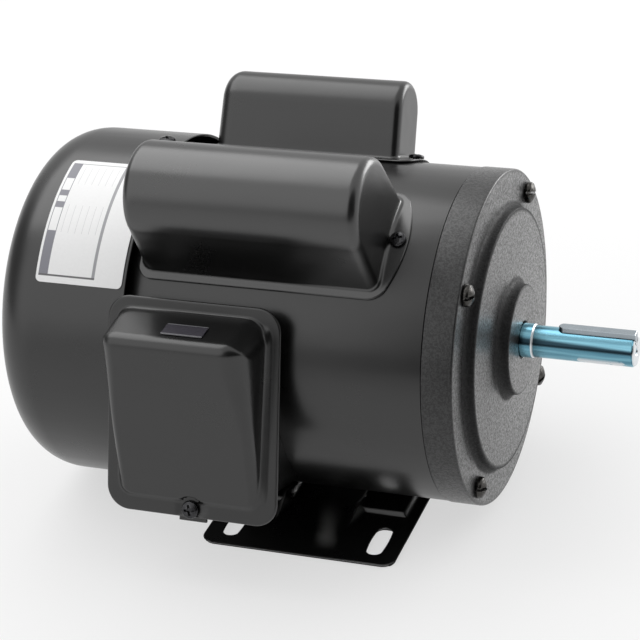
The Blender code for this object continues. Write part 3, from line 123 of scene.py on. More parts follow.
def surface(name, grid, around=False, closed=False, inside=None, keep=None, uv=None, sharp=EDGE_ANGLE):
    """Joins a grid of points, rows by columns, into quads that face away from a point inside.

    around joins the last column to the first, closed joins the last row to the first, keep drops quads."""
    rows, columns = grid.shape[:2]
    index = np.arange(rows * columns).reshape(rows, columns)
    if around:
        index = np.concatenate((index, index[:, :1]), axis=1)
    if closed:
        index = np.concatenate((index, index[:1]), axis=0)
    quads = np.stack((index[:-1, :-1], index[:-1, 1:], index[1:, 1:], index[1:, :-1]), axis=-1)
    quads = quads.reshape(-1, 4) if keep is None else quads[keep]
    places = grid.reshape(-1, 3)
    corners = places[quads]
    normals = np.cross(corners[:, 2] - corners[:, 0], corners[:, 3] - corners[:, 1])
    centre = places.mean(0) if inside is None else np.array(inside)
    if ((corners.mean(1) - centre) * normals).sum() < 0:
        quads = quads[:, ::-1]
    mesh = bpy.data.meshes.new(name)
    mesh.from_pydata(places.tolist(), [], quads.tolist())
    if uv is not None:
        layer = mesh.uv_layers.new(name="plate")
        layer.data.foreach_set("uv", uv.reshape(-1, 2)[quads.ravel()].ravel().astype(np.float32))
    bm = bmesh.new()
    bm.from_mesh(mesh)
    bmesh.ops.remove_doubles(bm, verts=bm.verts, dist=0.002 * MM)
    bmesh.ops.dissolve_degenerate(bm, edges=bm.edges, dist=0.001 * MM)
    bm.to_mesh(mesh)
    bm.free()
    mesh.shade_smooth()
    mesh.set_sharp_from_angle(angle=radians(sharp))
    return linked(name, mesh)


def linked(name, data):
    """A new object in the scene."""
    made = bpy.data.objects.new(name, data)
    bpy.context.scene.collection.objects.link(made)
    return made


def with_wall(piece, thickness):
    """Gives a pressed sheet its thickness, inwards from the outer skin."""
    wall = piece.modifiers.new("wall", "SOLIDIFY")
    wall.thickness = thickness
    wall.offset = -1.0
    shown = piece.evaluated_get(bpy.context.evaluated_depsgraph_get())
    mesh = bpy.data.meshes.new_from_object(shown)
    piece.modifiers.clear()
    piece.data = mesh
    mesh.set_sharp_from_angle(angle=radians(EDGE_ANGLE))
    return piece


def swing(start, stop, sweep, t):
    """Points of an arc from one spoke to another, t of the way round the sweep between them."""
    return (start * np.sin((1 - t) * sweep) + stop * np.sin(t * sweep)) / np.sin(sweep)


def rounded(corners, steps):
    """A polygon's corners (a, b, radius in mm), each replaced by an arc tangent to both of its sides."""
    outline = []
    count = len(corners)
    for i, (a, b, radius) in enumerate(corners):
        here = np.array((a, b), float)
        if radius <= 0:
            outline.append(here)
            continue
        before = np.array(corners[i - 1][:2], float) - here
        after = np.array(corners[(i + 1) % count][:2], float) - here
        before /= np.linalg.norm(before)
        after /= np.linalg.norm(after)
        half = np.arccos(np.clip(before @ after, -1, 1)) / 2
        radius *= MM
        centre = here + (before + after) / np.linalg.norm(before + after) * radius / np.sin(half)
        start = here + before * radius / np.tan(half) - centre
        stop = here + after * radius / np.tan(half) - centre
        outline.extend(centre + swing(start, stop, pi - 2 * half, np.linspace(0, 1, steps + 1)[:, None]))
    return np.array(outline)


def round_plan(px, py, half_x, half_y, corner):
    """Draws the points of a rectangle's four corners in to their arcs, each along its own spoke."""
    u, v = np.abs(px) - (half_x - corner), np.abs(py) - (half_y - corner)
    both = (u > 0) & (v > 0)
    scale = np.where(both, np.maximum(u, v) / np.maximum(np.hypot(u, v), 1e-9), 1.0)
    return (np.where(both, np.sign(px) * (half_x - corner + u * scale), px),
            np.where(both, np.sign(py) * (half_y - corner + v * scale), py))


def points(*coordinates):
    """Coordinates, stretched to one shape and joined into points."""
    return np.stack(np.broadcast_arrays(*coordinates), axis=-1)


def spun(x, radius, turn):
    """Points at stations along the shaft, each on a circle of its radius about the axis."""
    return points(x, -radius * np.cos(turn), AXIS + radius * np.sin(turn))


def turned(name, profile, inside_x):
    """A closed profile of (station along the shaft, radius) points, spun about the shaft's axis."""
    turn = np.arange(ROUND_STEPS) * 2 * pi / ROUND_STEPS
    return surface(name, spun(profile[:, :1], profile[:, 1:], turn), around=True, closed=True,
                   inside=(inside_x, 0, AXIS))


def radial(angle, local):
    """Local (x along the shaft, y around it, z outwards at that angle) points in the object's frame."""
    a = radians(angle)
    x, y, z = local[..., 0], local[..., 1], local[..., 2]
    return points(x, y * sin(a) - z * cos(a), AXIS + y * cos(a) + z * sin(a))


def spread(*stops):
    """Numbers that run through the stops, each stretch (value, count) evenly divided."""
    values = [np.array([stops[0]], float)]
    for (stop, count), start in zip(stops[1:], [stops[0]] + [s for s, _ in stops[1:-1]]):
        values.append(np.linspace(start, stop, count + 1)[1:])
    return np.concatenate(values)


def mirrored(values):
    """Numbers from 0 up, with their negatives before them."""
    return np.concatenate((-values[:0:-1], values))


def ease(t):
    """Smooth step from 0 to 1."""
    t = np.clip(t, 0, 1)
    return t * t * (3 - 2 * t)


def blunt(a, b, radius):
    """Inside measure of two overlapping borders whose shared corner is a circle."""
    over = np.hypot(np.maximum(a + radius, 0), np.maximum(b + radius, 0))
    return np.minimum(-radius, np.maximum(a, b)) + over


def border(near, far, measure, rounds):
    """Closes in by halving on the place between near and far where a measure turns positive."""
    for _ in range(rounds):
        middle = (near + far) / 2
        inside = measure(middle) < 0
        near, far = np.where(inside, middle, near), np.where(inside, far, middle)
    return near, far


def slab(name, node, outline, edge):
    """A flat slab over a node's height: nested outlines, the upper edge broken."""
    (x0, y0, z0), (x1, y1, z1) = corners_of(node)
    middle = np.array(((x0 + x1) / 2, (y0 + y1) / 2))
    slim = np.array((1 - 2 * edge / (x1 - x0), 1 - 2 * edge / (y1 - y0)))
    rows = []
    for size, z in ((0.0, z0), (1.0, z0), (1.0, z1 - edge), (slim, z1), (0.0, z1)):
        flat = middle + (outline - middle) * size
        rows.append(points(flat[:, 0], flat[:, 1], z))
    return surface(name, np.array(rows), around=True, sharp=30.0)


# ---------------- finishes

def both_ways(operation):
    """A Math node's two methods: the socket first, and the socket second."""
    return (lambda self, other: self.maths(operation, self, other),
            lambda self, other: self.maths(operation, other, self))


class Value:
    """One socket of a node tree. + - * / and ** between sockets and numbers add Math nodes."""

    def __init__(self, tree, socket):
        self.tree, self.socket = tree, socket

    def maths(self, operation, a, b=0.0):
        return self.tree.node("ShaderNodeMath", {"operation": operation}, {0: a, 1: b})

    __add__, __radd__ = both_ways("ADD")
    __sub__, __rsub__ = both_ways("SUBTRACT")
    __mul__, __rmul__ = both_ways("MULTIPLY")
    __truediv__, __rtruediv__ = both_ways("DIVIDE")
    __pow__, __rpow__ = both_ways("POWER")

    def __neg__(self):
        return self * -1.0

    def size(self):
        return self.maths("ABSOLUTE", self)

    def most(self, other):
        return self.maths("MAXIMUM", self, other)

    def above(self, edge, soft):
        """0 below the edge and 1 above it, with a soft border."""
        return self.tree.node("ShaderNodeMapRange", {"interpolation_type": "SMOOTHSTEP"},
                              {"Value": self, "From Min": edge - soft, "From Max": edge + soft})


class Tree:
    """A node tree that nodes are added to by one call each."""

    def __init__(self, tree):
        self.tree = tree

    def node(self, kind, settings=None, sockets=None, out=0):
        """Adds a node: its settings first, then the values or links of its sockets."""
        made = self.tree.nodes.new(kind)
        for key, value in (settings or {}).items():
            setattr(made, key, value)
        for key, value in (sockets or {}).items():
            if isinstance(value, Value):
                self.tree.links.new(value.socket, made.inputs[key])
            elif isinstance(value, tuple) and len(value) == 3 and made.inputs[key].type == "RGBA":
                made.inputs[key].default_value = (*value, 1.0)
            else:
                made.inputs[key].default_value = value
        return Value(self, made.outputs[out])


class Finish(Tree):
    """A material for one finish of the motor."""

    def __init__(self, name, colour, roughness, metallic=0.0, specular=0.5):
        self.material = bpy.data.materials.new(name)
        self.material.use_nodes = True
        super().__init__(self.material.node_tree)
        self.shader = self.tree.nodes["Principled BSDF"]
        self.shader.inputs["Base Color"].default_value = (*colour, 1.0)
        self.shader.inputs["Roughness"].default_value = roughness
        self.shader.inputs["Metallic"].default_value = metallic
        self.shader.inputs["Specular IOR Level"].default_value = specular
        self.colour = colour
        self.place = self.node("ShaderNodeTexCoord", out="Object")

    def noise(self, per_metre, detail=3.0, rough=0.5, stretch=(1, 1, 1)):
        """Soft noise, about 0.5 on average, so many lumps per metre, stretched by a factor under 1."""
        place = self.node("ShaderNodeMapping", None, {"Vector": self.place, "Scale": stretch})
        return self.node("ShaderNodeTexNoise", None, {"Vector": place, "Scale": per_metre, "Detail": detail,
                                                      "Roughness": rough})

    def along(self, axis):
        """The object's own X, Y or Z."""
        return self.node("ShaderNodeSeparateXYZ", None, {"Vector": self.place}, out=axis)

    def mix(self, amount, first, second):
        """first where the amount is 0, second where it is 1."""
        return self.node("ShaderNodeMix", {"data_type": "RGBA"},
                         {"Factor": amount, "A": first, "B": second}, out=2)

    def tinted(self, amount, share):
        """The finish's colour, darker and lighter by a share as the amount runs from 0 to 1."""
        return self.mix(amount, tuple(c * (1 - share) for c in self.colour),
                        tuple(min(c * (1 + share), 1) for c in self.colour))

    def set(self, socket, value):
        self.tree.links.new(value.socket, self.shader.inputs[socket])

    def relief(self, height, distance, strength, below=None):
        """Turns a height between 0 and 1 into relief of that distance in metres."""
        sockets = {"Height": height, "Distance": distance, "Strength": strength}
        return self.node("ShaderNodeBump", None, sockets if below is None else {**sockets, "Normal": below})

    def laid(self, colour, roughness, *relief):
        """Links the colour, the roughness and the relief, and gives the material."""
        self.set("Base Color", colour)
        self.set("Roughness", roughness)
        self.set("Normal", self.relief(*relief))
        return self.material


PEEL, PEEL_DEPTH = 620, 0.00002     # lumps per metre of a sprayed enamel's orange peel, and their relief


def black_paint(name, gloss):
    """Satin stoving enamel: fine orange peel, faint mottling and a slight unevenness of the sheet below."""
    f = Finish(name, (0.0048, 0.0048, 0.0048), 0.3, 0.0, gloss)
    peel = f.noise(PEEL, 2.0)
    mottle = f.noise(22, 4.0, 0.6)
    waves = f.noise(34, 2.0, 0.5, (0.35, 1.0, 1.0))
    return f.laid(f.tinted(mottle, 0.25), 0.23 + mottle * 0.09 + peel * 0.03,
                  peel, PEEL_DEPTH, 0.5, f.relief(waves, 0.0009, 0.5))


def foot_paint():
    """The same enamel with a painted highlight: lighter, and a little duller, in a soft band across the
    middle of the plate and on the folds' crests.
    """
    f = Finish("black enamel with painted highlight", (0.0045, 0.0045, 0.0045), 0.3, 0.0, 0.6)
    highlight_x, highlight_half = 7 * MM, 3.6 * MM
    x, y, z = f.along(0), f.along(1).size(), f.along(2)
    mottle, peel = f.noise(45, 4.0, 0.6), f.noise(PEEL, 2.0)
    # Painted highlight: a soft lighter band across the front of the plate and lighter fold crests, where
    # light lays highlights.
    middle = (x - highlight_x + (mottle - 0.5) * 0.006 - (y - 50 * MM) * 0.25).size()
    highlight_band = (1.0 - middle.above(highlight_half, highlight_half)) * y.above(45 * MM, 16 * MM)
    crest_highlight = (z - 3.6 * MM).above(0.0, 0.9 * MM) * y.above(39.5 * MM, 1.5 * MM)
    painted_highlight = (highlight_band * (1.0 - y.above(70 * MM, 6 * MM))).most(crest_highlight * 0.5)
    return f.laid(f.mix(painted_highlight * (0.5 + mottle * 0.5), f.tinted(mottle, 0.25), (0.2, 0.2, 0.195)),
                  0.23 + mottle * 0.08 + peel * 0.03 + painted_highlight * 0.15, peel, PEEL_DEPTH, 0.55)


def cast_black():
    """Sand-cast iron under one coat of black: glossy on the grains' tops, dull in the pits and in the two
    corners at the feet of the raised disc and the hub."""
    f = Finish("painted cast iron", (0.0075, 0.0075, 0.0077), 0.38, 0.0, 0.3)
    f.shader.inputs["Coat Roughness"].default_value = 0.3
    across, up = f.along(1), f.along(2) - AXIS
    radius = (across * across + up * up) ** 0.5
    corner = 0.0
    for wall, reach in ((BELL_R - 17.6 * MM, 2.2 * MM), (HUB_R + 1.4 * MM, 2.1 * MM)):
        corner = (1.0 - (radius - wall).size().above(reach, 1.0 * MM)) + corner
    side = radius.above(BELL_R - 1.2 * MM, 0.5 * MM)
    sand, fine, lumps = f.noise(720, 3.0, 0.65), f.noise(1500, 2.0, 0.6), f.noise(130)
    tops = (sand * 0.55 + fine * 0.45).above(0.5, 0.075)
    f.set("Coat Weight", (0.3 + tops * (1.0 - side * 0.6)) * (1.0 - corner * 0.85) * (1.0 - side * 0.05))
    return f.laid(f.mix(tops * 0.5, f.tinted(lumps, 0.3), (0.013, 0.013, 0.014)),
                  0.36 + fine * 0.1 + corner * 0.3,
                  sand * 0.5 + fine * 0.3 + lumps * 0.4, 0.0009, 1.0 - side * 0.5)


def brushed(name, colour, roughness, lines=(1, 1, 1), metallic=1.0, share=0.12):
    """Bare or plated metal with fine lines across the stretched axis and a light stain."""
    f = Finish(name, colour, roughness, metallic)
    fine, stain = f.noise(1800, 3.0, 0.6, lines), f.noise(60)
    return f.laid(f.tinted(stain * 0.7 + fine * 0.3, share), fine * 0.16 + stain * 0.08 + (roughness - 0.12),
                  fine, 0.000006, 0.6)


def plated_screw(name, colour, roughness):
    """Zinc-plated screw: dull grey plating with a stain, brighter on rubbed spots."""
    f = Finish(name, colour, roughness, 1.0)
    stain = f.noise(500, 3.0, 0.6)
    rubbed = f.noise(900, 2.0).above(0.6, 0.1)
    light = tuple(min(c * 2.2, 1) for c in colour)
    return f.laid(f.mix(rubbed * 0.5, f.tinted(stain, 0.35), light), roughness - 0.08 + stain * 0.2,
                  stain, 0.00002, 0.4)


def blued_shaft():
    """Ground shaft under a blue-green rust-proofing film: fine turning marks, a dark stripe along the front
    side that is a painted reflection, a pale ring at the shoulder that is a painted highlight, a rubbed patch
    and a bare end."""
    f = Finish("blued ground steel", (0.16, 0.34, 0.42), 0.2, 1.0)
    shoulder, stripe_z, patch_x = 104.7 * MM, AXIS + 3.1 * MM, 0.1395
    x, z = f.along(0), f.along(2)
    marks = f.noise(900, 3.0, 0.6, (6.0, 0.25, 0.25))
    streaks = f.noise(260, 3.0, 0.6, (0.06, 1.0, 1.6))
    patchy = f.noise(150, 4.0, 0.6)
    tint = f.mix(streaks.above(0.5, 0.2), (0.10, 0.25, 0.33), (0.22, 0.46, 0.56))
    # Painted reflection: a dark stripe along the front side, a little above the axis.
    run = (z - stripe_z + (x - 0.13) * 0.02 + (streaks - 0.5) * 0.0012).size() + (x - 0.105) * 0.012
    thick = (1.0 - run.above(1.7 * MM, 0.9 * MM)) * (-f.along(1)).above(0.0, 0.002)
    film_and_painted_reflection = f.mix(thick * 0.94, tint, (0.014, 0.028, 0.040))
    rubbed = (patchy + (x - patch_x).size() * -16.0).above(0.36, 0.05) * (AXIS - 0.003 - z).above(0.0, 0.0015)
    # Painted highlight: a ring of pale bare-steel colour at the shoulder.
    ring = 1.0 - (x - shoulder).size().above(0.5 * MM, 0.15 * MM)
    bare_end = (x - (high("shaft").x - 0.6 * MM)).above(0.0, 0.2 * MM)
    bare_and_painted_highlight = rubbed.most(ring.most(bare_end))
    return f.laid(f.mix(bare_and_painted_highlight, film_and_painted_reflection, (0.72, 0.75, 0.77)), 0.12 + marks * 0.12 + bare_and_painted_highlight * 0.12,
                  marks, 0.000005, 0.7)


def laminations():
    """Stacked thin sheets: fine dark lines across the shaft, with varnish on top."""
    f = Finish("varnished laminations", (0.26, 0.25, 0.24), 0.42, 0.9)
    sheets = f.node("ShaderNodeTexWave", {"bands_direction": "X", "wave_profile": "SIN"},
                    {"Vector": f.place, "Scale": 310.0, "Distortion": 0.0})
    stain = f.noise(90)
    shade = sheets * 0.6
    return f.laid(f.tinted(shade + stain * 0.4, 0.45), 0.34 + stain * 0.2, shade, 0.00008, 0.8)


def winding():
    """Enamelled copper wire in bundles, dipped in amber varnish."""
    f = Finish("varnished copper wire", (0.62, 0.24, 0.09), 0.32, 0.85)
    strands = f.noise(420, 2.0, 0.5, (0.12, 1.6, 1.6))
    varnish = f.noise(50)
    return f.laid(f.mix(strands.above(0.5, 0.12), (0.30, 0.10, 0.03), (0.74, 0.34, 0.13)),
                  0.22 + varnish * 0.25, strands, 0.0006, 0.9)


def cast_aluminium():
    """Die-cast aluminium: dull, lightly pitted."""
    f = Finish("die-cast aluminium", (0.62, 0.63, 0.64), 0.42, 1.0)
    skin = f.noise(300, 4.0, 0.6)
    return f.laid(f.tinted(skin, 0.18), 0.34 + skin * 0.2, skin, 0.00012, 0.7)


def moulded(name, colour, roughness, relief=0.00006, share=0.2):
    """Moulded plastic, rubber or pressed board: a fine texture and slight unevenness of colour."""
    f = Finish(name, colour, roughness)
    texture, cloud = f.noise(900, 2.0), f.noise(40)
    return f.laid(f.tinted(cloud * 0.6 + texture * 0.4, share), roughness - 0.06 + cloud * 0.12,
                  texture, relief, 0.6)


def label_print(width, height):
    """White plate printed in grey: a heading bar with blank fields, a frame round the middle and faint rules
    for entries that were never filled in. The plate's flat coordinates run forward and up."""
    f = Finish("white nameplate", (0.80, 0.80, 0.80), 0.36)
    flat = f.node("ShaderNodeUVMap", {"uv_map": "plate"})
    forward = f.node("ShaderNodeSeparateXYZ", None, {"Vector": flat}, out="X") / width + 0.5
    fallen = 0.5 - f.node("ShaderNodeSeparateXYZ", None, {"Vector": flat}, out="Y") / height

    def within(value, start, stop):
        """1 between two shares of the plate, with a thin soft border."""
        return value.above(start, 0.0015) * (1.0 - value.above(stop, 0.0015))

    tall = within(fallen, 0.035, 0.955)
    bar = within(forward, 0.028, 0.135) * tall
    for start, stop in ((0.19, 0.30), (0.35, 0.40), (0.45, 0.63)):
        bar = bar * (1.0 - within(forward, 0.036, 0.127) * within(fallen, start, stop))
    wide = within(forward, 0.028, 0.68)
    lines = (within(fallen, 0.035, 0.042) * wide).most(within(forward, 0.645, 0.68) * tall)
    foot = within(fallen, 0.942, 0.955) * wide
    rules = within(forward, 0.19, 0.194)
    for share in (0.27, 0.35, 0.43, 0.51, 0.59):
        rules = rules.most(within(forward, share, share + 0.004))
    rules = rules * within(fallen, 0.07, 0.24).most(within(fallen, 0.42, 0.64))
    paper = f.noise(700, 2.0)
    printed = f.tinted(paper, 0.03)
    for mask, ink in ((rules * 0.6, (0.30, 0.30, 0.31)), (lines * 0.9, (0.24, 0.24, 0.255)),
                      (bar * 0.95, (0.165, 0.165, 0.195)), (foot, (0.11, 0.11, 0.112))):
        printed = f.mix(mask, printed, ink)
    return f.laid(printed, 0.32 + paper * 0.08, paper, 0.00001, 0.3)


def tag_print():
    """Bare dark grey plate with a thin pale line along both long edges."""
    f = Finish("bare grey plate", (0.042, 0.039, 0.05), 0.42)
    y0, y1 = low("cover_tag").y, high("cover_tag").y
    inset = 0.75 * MM
    line = ((f.along(1) - (y0 + y1) / 2).size() - ((y1 - y0) / 2 - inset)).above(0.0, 0.08 * MM)
    grain = f.noise(1400, 2.0)
    return f.laid(f.mix(line, f.tinted(grain, 0.5), (0.16, 0.16, 0.17)), 0.36 + grain * 0.12,
                  grain, 0.00002, 0.4)


PAINT, CAST = black_paint("satin black enamel", 0.7), cast_black()
FINISHES = {
    "black_paint": PAINT,
    "cast_black": CAST,
    "dark_zinc": plated_screw("dull zinc plating", (0.055, 0.053, 0.05), 0.26),
    "black_zinc": plated_screw("black zinc plating", (0.045, 0.045, 0.047), 0.24),
    "lamination": laminations(),
    "copper": winding(),
    "aluminium": cast_aluminium(),
    "blued_steel": blued_shaft(),
    "steel": brushed("ground bearing steel", (0.60, 0.61, 0.62), 0.24, (4.0, 0.3, 0.3)),
    "fan_plastic": moulded("black fan plastic", (0.022, 0.022, 0.023), 0.46),
    "capacitor_can": moulded("black can plastic", (0.018, 0.018, 0.018), 0.42),
    "grey_tag": tag_print(),
    "rubber": moulded("black rubber", (0.014, 0.014, 0.014), 0.75, 0.0001),
    "board_tan": moulded("tan pressed board", (0.36, 0.20, 0.085), 0.55, 0.00008, 0.3),
    "brass": brushed("turned brass", (0.78, 0.57, 0.24), 0.28),
    "green_screw": brushed("green passivated screw", (0.05, 0.30, 0.10), 0.36, (1, 1, 1), 0.8, 0.25),
    "spool_plastic": moulded("cream nylon", (0.66, 0.60, 0.46), 0.45, 0.00004, 0.08),
}
KEY_STEEL = brushed("bright key steel", (0.34, 0.38, 0.41), 0.26, (0.08, 2.0, 2.0), 1.0, 0.4)


# ---------------- frame tube, bells and fan cover

def frame_tube():
    """Rolled tube: a square-edged wall with its lips just broken, spun about the shaft."""
    x0, x1 = reach_of("frame_shell")
    inner = FRAME_R - FRAME_WALL
    profile = rounded(((x1, inner, 0.3), (x1, FRAME_R, 0.25), (x0, FRAME_R, 0.5),
                       (x0, inner, 0.3)), 3)
    return turned("frame_tube", profile, (x0 + x1) / 2)


def front_bell():
    """Cast bell: rim, raised disc and hub boss, every edge and inner corner with its casting radius."""
    x0, hub = reach_of("front_end_bell")
    r = radius_of("front_end_bell")
    disc, rim = hub - 5.94 * MM, hub - 10.85 * MM
    disc_r = r - 18.5 * MM
    bore_r, wall, draft = mm(9.3, 4.4, 0.6)
    skirt = high("frame_shell").x + GAP
    spigot = FRAME_R - FRAME_WALL - GAP
    pocket_back, pocket_front, pocket_r = mm(84.0, 96.9, 20.3)
    outside = ((hub, bore_r, 0.8), (hub, HUB_R, 0.9), (disc, HUB_R + draft, 4.2),
               (disc, disc_r, 0.9), (rim, disc_r + draft, 3.4), (rim, r, 1.0),
               (skirt, r, 0.25))
    lip = ((skirt, spigot, 0.3), (x0, spigot, 0.6), (x0, spigot - 2.2 * MM, 0.6))
    inside = ((rim - 7.4 * MM, spigot - 2.2 * MM, 1), (rim - wall, spigot - 5.2 * MM, 1),
              (rim - wall, disc_r - 2 * MM, 1), (disc - wall, disc_r - 6 * MM, 1),
              (disc - wall, HUB_R + 3 * MM, 1), (pocket_back, HUB_R + 1 * MM, 1))
    pocket = ((pocket_back, pocket_r, 0.5), (pocket_front, pocket_r, 0.3),
              (pocket_front, bore_r, 0.3))
    return turned("front_bell", rounded(outside + lip + inside + pocket, 7), (x0 + rim) / 2)


def slotted_columns(count, per_slot, per_land):
    """For each column of a ring of radial slots: the share of the slot's half width that it stands at, the
    share of the land, and the number of its slot."""
    slot = np.linspace(-1, 1, per_slot + 1)
    land = np.linspace(0, 1, per_land + 1)[1:-1]
    share = np.concatenate((slot, np.ones(len(land))))
    rest = np.concatenate((np.zeros(len(slot)), land))
    return np.tile(share, count), np.tile(rest, count), np.repeat(np.arange(count), len(share))


def fan_cover():
    """Pressed cap: a flat back with radial inlet slots, an elliptical corner and a long side.

    In the back each column keeps a fixed distance from its slot's middle line, so that the slots' sides are
    parallel; on the side the columns are evenly spread."""
    x0, x1 = reach_of("fan_cover")
    r = radius_of("fan_cover")
    round_x, round_r, lip, slot_half, core_r = mm(21.2, 16.0, 0.35, 2.5, 13)
    slots, slots_turn, inner, outer = 16, radians(6.75), mm(17, 36), mm(43, 66)
    share, rest, which = slotted_columns(slots, 4, 8)
    pitch = 2 * pi / slots
    radii = spread(0.5 * MM, (inner[0], 6), (inner[1], 10), (outer[0], 4), (outer[1], 10), (r - round_r, 4))
    half = np.arcsin(np.clip(slot_half / np.maximum(radii, core_r), 0, 1))[:, None]
    turn = which * pitch + share * half + rest * (pitch - 2 * half)
    corner = np.linspace(0, pi / 2, 26)[1:]
    side_x = np.concatenate((x0 + round_x * (1 - np.cos(corner)),
                             spread(x0 + round_x, (x1 - lip, 10))[1:], [x1]))
    side_r = np.concatenate((r - round_r + round_r * np.sin(corner), np.full(10, r), [r - 0.3 * MM]))
    rows_x = np.concatenate((np.full(len(radii), x0), side_x))
    rows_r = np.concatenate((radii, side_r))
    turns = np.concatenate((turn, np.tile(turn[-1], (len(side_x), 1)))) + slots_turn
    grid = spun(rows_x[:, None], rows_r[:, None], turns)
    grid[0, :, 1:] = 0, AXIS
    middle_r = (rows_r[:-1] + rows_r[1:]) / 2
    on_back = np.abs(rows_x[1:] - x0) < 1e-6
    wide = np.append((share[1:] != share[:-1]) & (rest[1:] == 0) & (rest[:-1] == 0), False)
    cut = [(on_back & (middle_r > ring[0]) & (middle_r < ring[1]))[:, None] & columns[None, :]
           for ring, columns in ((outer, wide), (inner, wide & (which % 2 == 0)))]
    piece = surface("fan_cap", grid, around=True, inside=((x0 + x1) / 2, 0, AXIS), keep=~(cut[0] | cut[1]))
    return with_wall(piece, SHEET)


# ---------------- pressed capacitor covers

LOOP_SIDE, LOOP_TURN, LOOP_END = 60, 10, 16     # columns along a cover's side, round a corner and over an end


def cover_loops(levels, half_at, top, corner_r, x0, x1, round0, round1):
    """Closed loops round a long dome, one for each level above the shaft's axis.

    The dome is an arch (a flat top of radius corner_r at its edges over near-upright sides) cut by two end
    planes; where arch and end meet, the edge is a quarter circle. At a level, moving in by d from the arch by
    d = r (1 - sin f) goes with moving in by r (1 - cos f) from the end plane, for f from 90 degrees down to
    the angle at which the arch, moved in by d, no longer reaches the level."""
    levels = levels[:, None]
    spring = top - corner_r
    flat = half_at(spring) - corner_r

    def width(inset):
        """Half width of the arch at each level, once it is moved in by the inset."""
        rise = np.maximum(levels - spring, 0)
        bow = np.sqrt(np.maximum((corner_r - inset) ** 2 - rise ** 2, 0))
        return np.where(levels > spring, flat + bow, half_at(levels) - inset)

    def corner(radius):
        """The rounded edge from the side (f = 90 degrees) to the end plane."""
        lost = 1 - np.maximum(top - levels, 0) / radius
        lowest = np.arcsin(np.clip(lost, 0, 1))
        f = pi / 2 + (lowest - pi / 2) * np.linspace(0, 1, LOOP_TURN + 1)[None, :]
        return radius * (1 - np.cos(f)), width(radius * (1 - np.sin(f)))

    (in0, wide0), (in1, wide1) = corner(round0), corner(round1)
    turn0, turn1 = x0 + in0, x1 - in1
    along = np.linspace(0, 1, LOOP_SIDE + 1)[None, 1:-1] + 0 * levels
    across = np.linspace(1, -1, LOOP_END + 1)[None, 1:-1]
    side_x = x0 + round0 + (x1 - round1 - x0 - round0) * along
    side_y = width(0.0) + 0 * along
    x = (side_x, turn1, turn1[:, -1:] + 0 * across, turn1[:, ::-1],
         side_x[:, ::-1], turn0, turn0[:, -1:] + 0 * across, turn0[:, ::-1])
    y = (side_y, wide1, wide1[:, -1:] * across, -wide1[:, ::-1],
         -side_y, -wide0, wide0[:, -1:] * across[:, ::-1], wide0[:, ::-1])
    return np.concatenate(x, axis=1), np.concatenate(y, axis=1)


def corner_fan():
    """Outward direction of each point of a loop, as an angle from the shaft's direction."""
    quarter = np.linspace(90, 0, LOOP_TURN + 1)
    side, end = np.ones(LOOP_SIDE - 1), np.ones(LOOP_END - 1)
    return np.radians(np.concatenate((90.0 * side, quarter, 0 * end, -quarter[::-1],
                                      -90.0 * side, -180 + quarter, -180.0 * end, -180 - quarter[::-1])))


